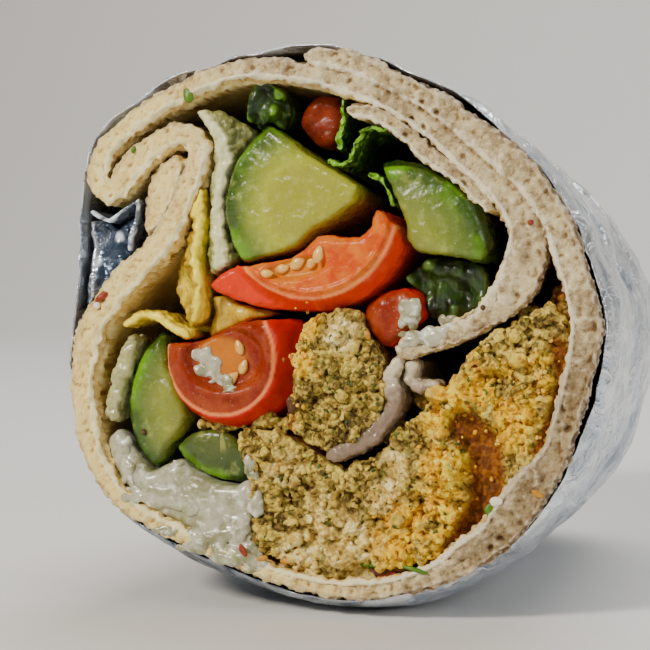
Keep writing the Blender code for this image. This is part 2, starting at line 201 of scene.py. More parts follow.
def mark(bm, name, value):
    """Stores value(vertex, x, z, depth) for the piece's material to read."""
    layer = bm.verts.layers.float.new(name)
    bm.normal_update()
    for vert in bm.verts:
        vert[layer] = value(vert, *to_section(vert.co))


def facing(vert):
    """How squarely a vertex faces out of the cut, from 0 to 1."""
    return max(-vert.normal.y, 0)


def hollows(bm, times, scale):
    """For each vertex, how far it lies below its surroundings, in shares of scale millimetres; ridges are below 0."""
    smooth = bm.copy()
    soften(smooth, times)
    bm.normal_update()
    found = [(s.co - v.co).dot(v.normal) / (scale * MM) for s, v in zip(smooth.verts, bm.verts)]
    smooth.free()
    return found


def smooth_normals(bm, times):
    """Each vertex's normal on a smoother copy of the skin."""
    smooth = bm.copy()
    soften(smooth, times)
    smooth.normal_update()
    found = [v.normal.copy() for v in smooth.verts]
    smooth.free()
    bm.verts.index_update()
    return found


# The bread, falafel and leaf materials paint shade into these hollows.
def mark_hollows(bm, name, times, scale):
    layer = bm.verts.layers.float.new(name)
    for vert, value in zip(bm.verts, hollows(bm, times, scale)):
        vert[layer] = min(max(value, -1), 1)


def path_distance(path, x, z):
    """Millimetres from (x, z) to a path of points in the section."""
    here = Vector((x, z))
    best = 1e9
    for start, end in zip(path, path[1:]):
        start, end = Vector(start), Vector(end)
        along = end - start
        share = min(max((here - start).dot(along) / along.length_squared, 0), 1)
        best = min(best, (start + along * share - here).length)
    return best


def front_points(bm, count, chance, inside=lambda x, z: True):
    """Random points on what faces out of the cut, with their normals."""
    border = min(v.co.y for v in bm.verts) + 3.5 * MM
    faces = [f for f in bm.faces if f.normal.y < -0.5 and f.calc_center_median().y < border]
    areas = [f.calc_area() for f in faces]
    found = []
    while len(found) < count:
        face = chance.choices(faces, weights=areas)[0]
        a, b, c = (v.co for v in face.verts[:3])
        u, v = chance.random(), chance.random()
        if u + v > 1:
            u, v = 1 - u, 1 - v
        point = a + (b - a) * u + (c - a) * v
        x, z, _ = to_section(point)
        if inside(x, z):
            found.append((point, face.normal.copy()))
    return found


def ball(bm, centre, size, chance, detail=1):
    """A lump at centre, turned at random; size is its three half-sizes in millimetres."""
    turn = Euler([chance.uniform(0, math.tau) for _ in range(3)])
    placed = Matrix.LocRotScale(centre, turn, Vector(size) * MM)
    return bmesh.ops.create_icosphere(bm, subdivisions=detail, radius=1, matrix=placed)["verts"]


def publish(bm, name, finish, slot, *nodes):
    """Makes bm a piece of the wrap in place of these nodes."""
    bmesh.ops.recalc_face_normals(bm, faces=bm.faces)
    mesh = bpy.data.meshes.new(name)
    bm.to_mesh(mesh)
    fronts[name] = BVHTree.FromBMesh(bm)
    bm.free()
    mesh.shade_smooth()
    mesh.materials.append(finish.material)
    obj = bpy.data.objects.new(name, mesh)
    bpy.context.scene.collection.objects.link(obj)
    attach(obj, "root")
    if nodes:
        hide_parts(*nodes)
    return obj


def drop(x, z, *names):
    """The frontmost point of the named pieces at this place in the section, with its normal, or None."""
    start = from_section(x, z, -20)
    best = None
    for name in names or fronts:
        point, normal, _, distance = fronts[name].ray_cast(start, Vector((0, 1, 0)))
        if point and to_section(point)[2] < 8 and (best is None or distance < best[2]):
            best = (point, normal, distance)
    return best and best[:2]


# ---------------------------------------------------------------- finishes


class Value:
    """A number over the surface that Python arithmetic turns into Math nodes."""

    def __init__(self, finish, socket):
        self.finish, self.socket = finish, socket

    def math(self, operation, *values):
        settings = {"operation": operation}
        return self.finish.node("ShaderNodeMath", settings, dict(enumerate(values)))

    def __add__(self, other):
        return self.math("ADD", self, other)

    def __sub__(self, other):
        return self.math("SUBTRACT", self, other)

    def __rsub__(self, other):
        return self.math("SUBTRACT", other, self)

    def __mul__(self, other):
        return self.math("MULTIPLY", self, other)

    def __truediv__(self, other):
        return self.math("DIVIDE", self, other)

    def __pow__(self, other):
        return self.math("POWER", self, other)

    __radd__ = __add__
    __rmul__ = __mul__

    def step(self, low, high):
        """0 below low, 1 above high, smooth between them; high may be the lower."""
        settings = {"interpolation_type": "SMOOTHSTEP"}
        inputs = {"Value": self, "From Min": min(low, high), "From Max": max(low, high)}
        if low > high:
            inputs |= {"To Min": 1.0, "To Max": 0.0}
        return self.finish.node("ShaderNodeMapRange", settings, inputs)


class Finish:
    """A material built from nodes; every pattern lies in the piece's own space, in millimetres."""

    def __init__(self, name, **constants):
        self.material = bpy.data.materials.new(name)
        self.material.use_nodes = True
        self.tree = self.material.node_tree
        self.shader = self.tree.nodes["Principled BSDF"]
        self.where = self.node("ShaderNodeTexCoord", output="Object")
        for key, value in constants.items():
            self.shader.inputs[key.replace("_", " ").title().replace("Ior", "IOR")].default_value = value

    def node(self, kind, settings=None, inputs=None, output=0):
        made = self.tree.nodes.new(kind)
        for key, value in (settings or {}).items():
            if key == "stops":
                self.set_stops(made.color_ramp, value)
            else:
                setattr(made, key, value)
        for key, value in (inputs or {}).items():
            self.put(made.inputs[key], value)
        return Value(self, made.outputs[output])

    def put(self, socket, value):
        if isinstance(value, Value):
            self.tree.links.new(value.socket, socket)
        elif isinstance(value, tuple) and len(value) == 3 and socket.type == "RGBA":
            socket.default_value = (*value, 1)
        else:
            socket.default_value = value

    def set_stops(self, ramp, stops):
        while len(ramp.elements) > 1:
            ramp.elements.remove(ramp.elements[-1])
        ramp.elements[0].position = stops[0][0]
        ramp.elements[0].color = (*stops[0][1], 1)
        for position, colour in stops[1:]:
            ramp.elements.new(position).color = (*colour, 1)

    def set(self, socket, value):
        self.put(self.shader.inputs[socket], value)

    def stretched(self, x, y, z, turn=(0, 0, 0), where=None):
        """The piece's space, turned and then scaled along each axis."""
        inputs = {"Vector": where or self.where, "Scale": (x, y, z), "Rotation": turn}
        return self.node("ShaderNodeMapping", {}, inputs)

    def vector(self, operation, *values, **settings):
        inputs = {i: value for i, value in enumerate(values)}
        return self.node("ShaderNodeVectorMath", {"operation": operation}, inputs)

    def warped(self, size, reach):
        """The piece's space, pushed about by up to reach millimetres."""
        inputs = {"Vector": self.where, "Scale": 1 / (size * MM)}
        push = self.node("ShaderNodeTexNoise", {}, inputs, "Color")
        push = self.vector("SUBTRACT", push, (0.5, 0.5, 0.5))
        return self.vector("MULTIPLY_ADD", push, (2 * reach * MM,) * 3, self.where)

    def tilt(self, *patterns):
        """Leans each cell of a pattern its own way, as the facets of crumpled foil do."""
        normal = self.node("ShaderNodeNewGeometry", output="Normal")
        for cells, lean in patterns:
            normal = self.vector("MULTIPLY_ADD", self.vector("SUBTRACT", cells, (0.5, 0.5, 0.5)), (lean,) * 3, normal)
        self.set("Normal", self.vector("NORMALIZE", normal))

    def noise(self, size, detail=3.0, roughness=0.55, where=None, distortion=0.0):
        inputs = {
            "Vector": where or self.where,
            "Scale": 1 / (size * MM),
            "Detail": detail,
            "Roughness": roughness,
            "Distortion": distortion,
        }
        return self.node("ShaderNodeTexNoise", {}, inputs)

    def cells(self, size, feature="F1", output="Distance", where=None, randomness=1.0):
        inputs = {"Vector": where or self.where, "Scale": 1 / (size * MM), "Randomness": randomness}
        return self.node("ShaderNodeTexVoronoi", {"feature": feature}, inputs, output)

    def cell_number(self, size, where=None):
        """One random number for each cell of this size."""
        colour = self.cells(size, output="Color", where=where)
        return self.node("ShaderNodeSeparateColor", {}, {"Color": colour}, "Red")

    def read(self, name):
        return self.node("ShaderNodeAttribute", {"attribute_name": name}, output="Fac")

    def ramp(self, value, *stops):
        return self.node("ShaderNodeValToRGB", {"stops": stops}, {"Fac": value}, "Color")

    def blend(self, share, first, second, mode="MIX"):
        settings = {"data_type": "RGBA", "blend_type": mode}
        inputs = {"Factor": share, 6: first, 7: second}
        return self.node("ShaderNodeMix", settings, inputs, 2)

    def bump(self, height, rise, strength=1.0):
        """Lets height, as a share of rise millimetres, stand out of the surface."""
        inputs = {"Height": height, "Distance": rise * MM, "Strength": strength}
        if self.shader.inputs["Normal"].links:
            inputs["Normal"] = Value(self, self.shader.inputs["Normal"].links[0].from_socket)
        self.set("Normal", self.node("ShaderNodeBump", {}, inputs))


# ---------------------------------------------------------------- foil


class WrapFoil(PropertyGroup):
    colour: FloatVectorProperty(
        name="Foil", description="Colour of the bare aluminium", subtype="COLOR", default=tint("e8ecf2")
    )
    # Painted reflection: the darker facets take this colour, standing in for reflections of dark surroundings.
    shade: FloatVectorProperty(
        name="Shade", description="Colour of the duller facets", subtype="COLOR", default=tint("9fb0c6")
    )
    wall: FloatProperty(
        name="Wall", description="Thickness the foil is shown with", subtype="DISTANCE", default=0.15 * MM
    )
    crumple: FloatProperty(
        name="Crumple", description="Height of the larger creases", subtype="DISTANCE", default=0.9 * MM
    )


def creases(co, seed, size):
    """A crumpled sheet's height, about -1 to 1: straight folds that cross at all angles, each fading out."""
    chance = random.Random(seed)
    total = 0.0
    for i in range(6):
        way = Vector([chance.gauss(0, 1) for _ in range(3)]).normalized()
        pitch = size * chance.uniform(0.6, 1.7) * MM
        warp = 0.55 * noise.noise(co / (size * 2.2 * MM) + Vector((seed, i, 0)))
        phase = (co.dot(way) / pitch + warp + chance.random()) % 1
        weight = ease(-0.15, 0.45, noise.noise(co / (size * 1.6 * MM) + Vector((i * 3.1, 0, seed))))
        total += weight * (abs(2 * phase - 1) - 0.5)
    return total * 0.7


def foil_finish(name, sizes):
    finish = Finish(name)
    warp = finish.warped(9, 2.5)
    big = finish.stretched(1, 0.45, 1, (0, 0.35, 0.4), warp)
    small = finish.stretched(1, 0.5, 1, (0.3, 0.1, -0.5), warp)
    swell = finish.noise(11, 3, 0.55, big)
    wrinkle = finish.noise(3.0, 4, 0.6, small)
    fold = (swell - 0.5).math("ABSOLUTE", swell - 0.5).step(0.014, 0.0)
    crease = (wrinkle - 0.5).math("ABSOLUTE", wrinkle - 0.5).step(0.02, 0.0)
    # Painted reflection: the facets are toned between shade and colour as if they reflected darker and lighter
    # surroundings.
    tone = swell * 0.5 + wrinkle * 0.5
    # Painted highlights: glint whitens the lines of the folds and creases.
    glint = fold * 0.6 + crease * 0.25
    colour = finish.ramp(tone, (0.36, tuple(sizes.shade)), (0.56, tuple(sizes.colour)))
    colour = finish.blend(glint, colour, (0.98, 0.99, 1.0))
    shaded, rim = finish.read("shaded"), finish.read("rim")
    # Painted dark reflection and painted shade: where shaded, the foil turns navy with lighter patches and glints.
    painted_dark = finish.blend(tone.step(0.5, 0.62) * 0.5 + glint * 0.5, tint("3a485c"), tint("a4b8d0"))
    colour = finish.blend(shaded, colour, painted_dark)
    # Painted highlight: rim turns the foil pale and less metallic along its torn edge and at the glints.
    finish.set("Base Color", finish.blend(rim, colour, tint("e6f0fc")))
    finish.set("Metallic", 0.92 - 0.42 * shaded - 0.42 * rim)
    finish.set("Roughness", wrinkle * 0.2 + 0.14)
    finish.tilt(
        (finish.cells(7, output="Color", where=big), 0.38),
        (finish.cells(2.4, output="Color", where=small), 0.16),
    )
    finish.bump(swell * 3.0 + wrinkle + crease * 0.15 + fold * 0.3, 0.5, 0.8)
    return finish


def foil_shaded(x, z, depth):
    """1 low on the left, where the foil is painted dark as a reflection of dark surroundings, and 0 elsewhere."""
    return ease(10, -16, x) * ease(-10, -20, z)


class WRAP_OT_foil(Operator):
    """Make the crumpled foil round the wrap and the foil tucked into the bread's fold"""

    bl_idname = "wrap.foil"
    bl_label = "Foil"

    def execute(self, context):
        sizes = context.scene.wrap_foil
        finish = foil_finish("crumpled_foil", sizes)
        self.wrapper(sizes, finish)
        self.tuck(finish)
        self.slack(finish)
        return {"FINISHED"}

    def wrapper(self, sizes, finish):
        bm = copy_of("foil_wrapper")
        bm.normal_update()
        inner = []
        for face in bm.faces:
            x, z, depth = to_section(face.calc_center_median())
            outward = Vector((x, 0, z)).normalized()
            closed_end = depth > LENGTH - 8 and face.normal.y > 0.4
            if face.normal.dot(outward) < 0.2 and not closed_end:
                inner.append(face)
        bmesh.ops.delete(bm, geom=inner, context="FACES")
        bmesh.ops.join_triangles(
            bm, faces=bm.faces, angle_face_threshold=3.1, angle_shape_threshold=3.1, cmp_seam=False
        )
        depth = 3.0
        while depth < LENGTH - 2:
            everything = bm.verts[:] + bm.edges[:] + bm.faces[:]
            bmesh.ops.bisect_plane(bm, geom=everything, plane_co=(0, CUT_Y + depth * MM, 0), plane_no=(0, 1, 0))
            depth += 3.0 if depth < 20 else 4.0
        bm = smooth_skin(bm, 2)
        low, high = (Vector(corner) for corner in CAD_BOX)

        def crumple(vert, x, z, depth):
            rim = 1 - ease(0, 7, depth)
            underside = ease(-33, -37, z)
            big = creases(vert.co, 11, 12) + 0.5 * creases(vert.co, 5, 5) + 0.2 * creases(vert.co, 7, 2.5)
            height = big * sizes.crumple / MM * (1 - 0.85 * rim) * (1 - underside) - 0.3 * (1 - underside)
            snug = 0.35 * rim * (1 - 0.8 * ease(-24, -32, x) * ease(20, 12, abs(z - 4))) * (1 - ease(-20, -28, z))
            snug += 0.3 * rim * ease(-10, 10, x)
            flared = ease(3.5, 0, depth) * ease(4, 14, z) * (0.8 + 0.9 * noise.noise(vert.co / (5 * MM)))
            return height - snug + 0.3 * rim * creases(vert.co, 23, 3.2) + flared

        relief(bm, crumple)
        for vert in bm.verts:
            if vert.is_boundary:
                tear = noise.noise(vert.co / (1.6 * MM)) * 0.45 + noise.noise(vert.co / (0.7 * MM)) * 0.25
                vert.co.y += tear * MM
            vert.co.x = min(max(vert.co.x, low.x + 0.1 * MM), high.x - 0.1 * MM)
            vert.co.z = min(max(vert.co.z, 0), high.z - 0.1 * MM)
        # Painted dark reflection on the lower left of the wrapper.
        mark(bm, "shaded", lambda v, x, z, d: foil_shaded(x, z, d))
        # Painted highlight along the torn edge, brighter towards the top.
        mark(bm, "rim", lambda v, x, z, d: ease(3.0, 1.5, d) * ease(-0.3, 0.2, rough(v.co, 3, 2, 1)) * (0.4 + 0.6 * ease(0, 12, z)))
        foil = publish(bm, "foil_crumpled", finish, "foil", "foil_wrapper")
        wall = foil.modifiers.new("wall", "SOLIDIFY")
        wall.thickness = sizes.wall
        wall.offset = -1

    def tuck(self, finish):
        bm = fine_front("foil_tuck", 0.16, 9, squeeze=40)
        relief(bm, lambda v, x, z, d: 0.18 * creases(v.co, 3, 3.0))
        # Painted shade: the foil tucked into the fold is painted dark nearly all over.
        mark(bm, "shaded", lambda v, x, z, d: 0.8)
        # Painted highlight in spots along the tucked foil's edge.
        mark(bm, "rim", lambda v, x, z, d: ease(1.2, 0.4, d) * ease(0.0, 0.3, rough(v.co, 2.0, 2, 6)))
        publish(bm, "foil_tuck_crumpled", finish, "foil", "foil_tuck")

    def slack(self, finish):
        bm = fine_front("foil_slack", 0.18, 8)
        recess(bm, 8, lambda x, z: 2.2 * creases(Vector((x, 0, z)) * MM, 9, 6) - 1.2 * ease(-33, -35, x))
        relief(bm, lambda v, x, z, d: 0.3 * creases(v.co, 17, 2.2))
        # Painted highlights: the spots where the slack foil is painted pale as glints.
        glints = ((-35, 15), (-34.5, 17.5), (-31, 11.5), (-29.5, 7.5), (-33, 2), (-34.4, 8))
        # Painted shade: the slack foil is painted dark inward of the light band at its left.
        mark(bm, "shaded", lambda v, x, z, d: ease(-34.8, -33.4, x + 0.8 * noise.noise(v.co / (3 * MM))))
        mark(bm, "rim", lambda v, x, z, d: max(ease(1.1, 0.3, math.hypot(x - px, z - pz)) for px, pz in glints))
        publish(bm, "foil_slack_crumpled", finish, "foil", "foil_slack")


def smooth_skin(bm, levels):
    """The skin rounded by subdivision."""
    mesh = bpy.data.meshes.new("skin")
    bm.to_mesh(mesh)
    bm.free()
    obj = bpy.data.objects.new("skin", mesh)
    bpy.context.scene.collection.objects.link(obj)
    rounded = obj.modifiers.new("rounded", "SUBSURF")
    rounded.levels = rounded.render_levels = levels
    evaluated = obj.evaluated_get(bpy.context.evaluated_depsgraph_get())
    made = bmesh.new()
    made.from_mesh(evaluated.to_mesh())
    evaluated.to_mesh_clear()
    bpy.data.objects.remove(obj)
    bpy.data.meshes.remove(mesh)
    return made


# ---------------------------------------------------------------- bread


class WrapBread(PropertyGroup):
    crumb: FloatVectorProperty(
        name="Crumb", description="Colour of the cut bread", subtype="COLOR", default=tint("d3bf92")
    )
    shade: FloatVectorProperty(
        name="Moist crumb", description="Colour of the moist, darker crumb", subtype="COLOR", default=tint("9f8862")
    )
    # Painted light: the crumb on the sunlit left of the cut takes this colour.
    sunlit_crumb: FloatVectorProperty(
        name="Oiled crumb", description="Colour of the crumb on the oily side", subtype="COLOR", default=tint("f6dc8c")
    )
    surface: FloatVectorProperty(
        name="Surface", description="Colour of the sheet's faces", subtype="COLOR", default=tint("fbdf88")
    )
    outside: FloatVectorProperty(
        name="Outside", description="Colour of the outside, next to the foil", subtype="COLOR", default=tint("7b6247")
    )
    pore: FloatProperty(
        name="Pore depth", description="Depth of the pores at the cut", subtype="DISTANCE", default=0.7 * MM
    )


SWELLINGS = (
    # x, z, reach, extra thickness in millimetres
    (23, 8, 6, 0.7),
    (26, -11, 5, 0.8),
    (23.4, -17.2, 5.5, 1.6),
    (17.5, -28.5, 5, 0.6),
    (27, 2, 5, 0.7),
    (-8, 34, 5, 0.4),
    (-31, 20, 3.5, 0.5),
    (-28.5, 22.5, 3.5, 0.4),
)


def bread_finish(sizes):
    finish = Finish("flatbread", subsurface_weight=0.06, subsurface_scale=1.0 * MM, specular_ior_level=0.3)
    finish.shader.inputs["Subsurface Radius"].default_value = (1.0, 0.6, 0.35)
    left, lean, hollow = finish.read("left"), finish.read("lean"), finish.read("hollow")
    mottle = finish.noise(4.0, 5, 0.62)
    blot = finish.noise(1.2, 4, 0.62)
    grain = finish.noise(0.28, 4, 0.65)
    # Painted light: left marks the sunlit left, where the crumb is painted warmer and paler, with less of the browner
    # rind.
    pale = finish.blend(left, tuple(sizes.crumb), tuple(sizes.sunlit_crumb))
    moist = finish.blend(left, tuple(sizes.shade), tint("d2ab5c"))
    tone = mottle * 0.5 + blot * 0.3 + grain * 0.2
    crumb = finish.blend((tone + left * 0.06).step(0.42, 0.56), moist, pale)
    rind = finish.blend(blot.step(0.4, 0.65), tint("8d755a"), tint("c8ae88"))
    crumb = finish.blend((lean.step(0.25, 0.65) * (1 - left * 0.3)) * 0.8, crumb, rind)
    white = finish.blend(left, tint("f4e9ca"), tint("fff2bc"))
    crumb = finish.blend((lean * -0.9 + blot * 1.6 + mottle * 0.8 - 1.2).step(0.0, 0.5) * 0.85, crumb, white)
    face = finish.blend(mottle.step(0.4, 0.65), tint("d8b468"), tuple(sizes.surface))
    back = finish.blend(finish.noise(2.5, 5, 0.65).step(0.42, 0.7), tuple(sizes.outside), tint("a48a66"))
    face = finish.blend(finish.read("outside"), face, back)
    colour = finish.blend(finish.read("cut").step(0.2, 0.5), face, crumb)
    # Painted shade: the lower right of the bread is darkened.
    colour = finish.blend(finish.read("dim") * 0.6, colour, tint("a08c70"), "MULTIPLY")
    # Painted shade: darker in the hollows of the cut.
    colour = finish.blend(hollow.step(0.05, 0.7) * 0.8, colour, tint("9a7a52"), "MULTIPLY")
    colour = finish.blend(hollow.step(-0.1, -0.8) * 0.5, colour, white)
    specks = finish.cells(3.0).step(0.1, 0.05) * finish.noise(2).step(0.5, 0.6)
    finish.set("Base Color", finish.blend(specks * 0.45, colour, tint("4d3520")))
    finish.set("Roughness", 0.8 - 0.4 * finish.noise(1.6, 3).step(0.5, 0.75))
    finish.bump(grain * 0.7 + blot * 0.8, 0.25, 0.9)
    return finish


def bread_pore(co):
    """How deep the bread's cut is torn here, in shares of its deepest pores."""
    near, _ = cell(co, 1.9, 3)
    return ease(0.40, 0.12, near) * ease(0.0, 0.4, rough(co, 5, 2, 9))


class WRAP_OT_bread(Operator):
    """Make the rolled sheet of flatbread, its loose inner ply and its gathered fold"""

    bl_idname = "wrap.bread"
    bl_label = "Bread"

    def execute(self, context):
        sizes = context.scene.wrap_bread
        finish = bread_finish(sizes)
        self.layer("flatbread_sheet", "flatbread_rolled", 0.3, 3.0, 0.0, sizes, finish)
        self.layer("flatbread_ply", "flatbread_loose_ply", 0.2, 5, 0.3, sizes, finish)
        self.layer("flatbread_gather", "flatbread_gathered", 0.22, 5, 2.2, sizes, finish)
        return {"FINISHED"}

    def grown(self, vert, x, z, d):
        """Bread between the fold's layers nearly touches; here and there it swells into the filling."""
        outward = vert.normal.dot(Vector((x, 0, z)).normalized())
        swelling = sum(extra * ease(reach, 0, math.hypot(x - px, z - pz)) for px, pz, reach, extra in SWELLINGS)
        return (0.2 + (0.15 + swelling) * ease(0.5, -0.2, outward)) * ease(12, 6, d)

    def layer(self, node, name, voxel, keep, forward, sizes, finish):
        bm = fine_front(node, voxel, keep, squeeze=40, grow=self.grown)
        soften(bm, 2)
        recess(bm, keep + 1, lambda x, z: -forward)
        normals = smooth_normals(bm, 9)

        def lean(vert, x, z):
            """Above 0 towards the sheet's outer edge, below 0 towards its inner edge."""
            return normals[vert.index].dot(Vector((x, 0, z)).normalized())

        bm.normal_update()
        mark(bm, "cut", lambda v, x, z, d: ease(0.15, 0.6, facing(v)) * ease(5, 3, d))
        mark(bm, "outside", lambda v, x, z, d: ease(0.2, 0.7, v.normal.dot(Vector((x, 0, z)).normalized())))
        mark(bm, "lean", lambda v, x, z, d: lean(v, x, z))
        # Painted light: 1 on the sunlit left, 0 towards the right.
        mark(bm, "left", lambda v, x, z, d: ease(4, -20, x + 0.3 * z))
        # Painted shade on the lower right of the bread.
        mark(bm, "dim", lambda v, x, z, d: ease(16, 26, x) * ease(2, -8, z))
        depth = sizes.pore / MM

        def torn(vert, x, z, d):
            share = ease(0.2, 0.8, facing(vert))
            middle = ease(0.6, 0.2, abs(lean(vert, x, z)))
            inward = (bread_pore(vert.co) * depth + 0.45) * middle * (1 - 0.6 * ease(4, -20, x))
            inward += 0.45 * rough(vert.co, 1.4, 4, 4) + 0.45 * rough(vert.co, 5, 2, 14)
            ragged = ease(5, 1.5, d) * (0.4 * rough(vert.co, 0.9, 3, 8) + 0.35 * rough(vert.co, 3.0, 2, 18) + 0.1)
            ripple = (1 - share) * 0.12 * rough(vert.co, 6, 2, 2)
            outward = Vector((x, 0, z)).normalized()
            clear = (0.3 * ease(1.5, 3, d) + 0.6 * ease(5, 9, d)) * ease(0.2, 0.6, vert.normal.dot(outward))
            sideways = vert.normal * ((ragged * (1 - 0.7 * share) + ripple) * MM) - outward * (clear * MM)
            return Vector((0, inward * share * MM, 0)) + sideways

        shift(bm, torn)
        mark_hollows(bm, "hollow", 6, 0.25)
        publish(bm, name, finish, "flatbread", node)


# ---------------------------------------------------------------- falafel


class WrapFalafel(PropertyGroup):
    crumb: FloatVectorProperty(
        name="Crumb", description="Colour of the falafel inside", subtype="COLOR", default=tint("a4863a")
    )
    shade: FloatVectorProperty(
        name="Shade", description="Darker olive colour in the crumb", subtype="COLOR", default=tint("4c3a10")
    )
    pale: FloatVectorProperty(
        name="Pale", description="Colour of the palest crumbs", subtype="COLOR", default=tint("e0c860")
    )
    fried: FloatVectorProperty(
        name="Fried", description="Colour of the fried crumbs near the crust", subtype="COLOR", default=tint("ffcc00")
    )
    crust: FloatVectorProperty(
        name="Crust", description="Colour of the browned crust", subtype="COLOR", default=tint("6e3a0c")
    )
    lumps: IntProperty(name="Lumps", description="Crumbs that stand out of a large falafel", default=2600)


FRIED_SPOTS = (
    # x, z, reach in millimetres
    (11, -28, 8),
    (15.5, -17.5, 5),
    (15, -24, 6),
    (16, -11, 6),
    (21, -10, 7),
    (25, -8, 6),
    (24, -13, 4),
    (27.5, -5.5, 3.5),
    (20, -4, 2.5),
    (-4, -5, 2.6),
    (-3, 0, 3),
    (-5.5, -11, 2.5),
)

PALE_SPOTS = ((3, -29, 6), (-4, -30.5, 4.5), (-1, -25, 4), (7, -22, 3.5), (-7, -19, 3), (2, -1, 3), (9, -17.5, 3))

HILLS = (
    # x, z, reach, height in millimetres
    (12, -28.5, 6, 1.4),
    (15.8, -17.8, 3.4, 1.9),
    (11, -18, 2.8, 1.2),
    (25.2, -7.8, 3, 1.8),
    (20.5, -10.5, 3.6, 1.3),
    (16.5, -9, 2.6, 1.0),
    (14.5, -12.5, 3, 0.8),
    (23.5, -14.6, 2, 1.2),
    (28, -5.6, 2, 1.2),
    (22, -2.6, 2.2, 0.8),
    (9.5, -22, 3, 0.9),
    (14.6, -23.6, 2.4, 1.0),
    (8, -14.8, 2.4, 0.6),
    (4, -25, 4, 0.6),
    (-3.8, -5.2, 1.8, 0.6),
    (11.7, -24.7, 1.5, -2.2),
    (-6.2, -23.8, 1.8, -2.4),
    (4.2, -8.6, 1.6, -1.6),
    (-3, -17.5, 2.5, -0.8),
)

VALLEY = ((17.6, -13), (20.2, -15.4), (20.4, -19), (20.6, -22.5), (18.6, -26), (17, -29.2))  # brown crust, set back
CRUST_SIDES = ((29.6, -2), (30.6, -6), (29.6, -11), (27.4, -15.6)), ((-5.6, -11.4), (-5.9, -13.4))
SPILLS = (
    # x, z, half-width, half-height in millimetres, depth, count: loose crumb that fills the gaps between the pieces
    (-16.5, -13.6, 3.4, 1.0, 2.2, 60),
    (-10.5, -13.0, 3.0, 1.1, 1.8, 60),
    (-5.5, -12.8, 2.0, 1.2, 2.2, 40),
    (1.0, -15.4, 4.0, 1.0, 2.4, 50),
    (7.4, -14.0, 2.0, 1.6, 3.0, 30),
    (-1.5, -15.2, 2.4, 0.9, 1.4, 50),
    (11.5, -8.6, 2.2, 2.0, 4.0, 40),
    (29.6, 2.6, 1.6, 3.4, 3.4, 60),
    (30.4, -5.5, 1.0, 4.5, 3.0, 50),
    (25.5, 1.6, 2.6, 1.6, 3.4, 40),
    (3.0, -33.0, 5.0, 0.9, 1.8, 60),
    (14.0, -31.5, 3.5, 0.9, 2.4, 40),
    (22.0, -25.0, 1.5, 4.0, 3.2, 60),
)


def fried_at(x, z):
    return max(ease(reach, reach * 0.35, math.hypot(x - px, z - pz)) for px, pz, reach in FRIED_SPOTS)


def pale_at(x, z):
    return max(ease(reach, reach * 0.4, math.hypot(x - px, z - pz)) for px, pz, reach in PALE_SPOTS)


def crust_at(x, z):
    sides = max(ease(1.6, 0.5, path_distance(path, x, z)) for path in CRUST_SIDES)
    return max(ease(3.3, 1.5, path_distance(VALLEY, x, z)), sides)


def falafel_set_back(x, z):
    """Millimetres the broken front lies behind an even one."""
    hills = sum(height * ease(reach, 0, math.hypot(x - px, z - pz)) for px, pz, reach, height in HILLS)
    sides = 1.6 * max(ease(1.8, 0.3, path_distance(path, x, z)) for path in CRUST_SIDES)
    return 3.4 * ease(3.6, 0.8, path_distance(VALLEY, x, z)) + sides - hills + 0.5


def falafel_finish(sizes):
    finish = Finish("falafel_crumb", specular_ior_level=0.3)
    grain = finish.cell_number(0.5, finish.warped(0.6, 0.15))
    bits = finish.cell_number(1.5, finish.warped(1.5, 0.4))
    fine = finish.noise(0.9, 4, 0.65)
    tone = finish.noise(5, 4, 0.6) * 0.5 + bits * 0.25 + grain * 0.25
    inside = finish.ramp(tone, (0.36, tuple(sizes.shade)), (0.49, tuple(sizes.crumb)), (0.63, tuple(sizes.pale)))
    pale = finish.ramp(tone, (0.35, tint("c09c48")), (0.5, tint("ecd074")), (0.66, tint("fff2bc")))
    inside = finish.blend(finish.read("pale"), inside, pale)
    inside = finish.blend(finish.noise(1.9, 4, 0.6).step(0.57, 0.65) * 0.6, inside, tint("5b6118"))
    fried = finish.ramp(
        grain * 0.35 + bits * 0.25 + fine * 0.4,
        (0.25, tint("a06a02")),
        (0.4, tint("e4a800")),
        (0.58, tuple(sizes.fried)),
        (0.75, tint("fff050")),
    )
    colour = finish.blend(finish.read("fried"), inside, fried)
    crust = finish.blend((grain * 0.5 + fine * 0.5).step(0.35, 0.7), tuple(sizes.crust), tint("9c5c12"))
    colour = finish.blend(finish.read("crust"), colour, crust)
    # Painted shade in the hollows between the crumbs and a painted highlight on their crests.
    hollow = finish.read("hollow")
    colour = finish.blend(hollow.step(0.1, 0.7) * 0.85, colour, tint("805018"), "MULTIPLY")
    colour = finish.blend(hollow.step(-0.2, -0.9) * 0.35, colour, tint("f8d040"))
    finish.set("Base Color", colour)
    finish.set("Roughness", 0.75 - 0.45 * finish.noise(1.0, 3).step(0.52, 0.7))
    finish.bump(finish.noise(0.3, 4, 0.62) + grain * 0.4, 0.22, 0.8)
    return finish


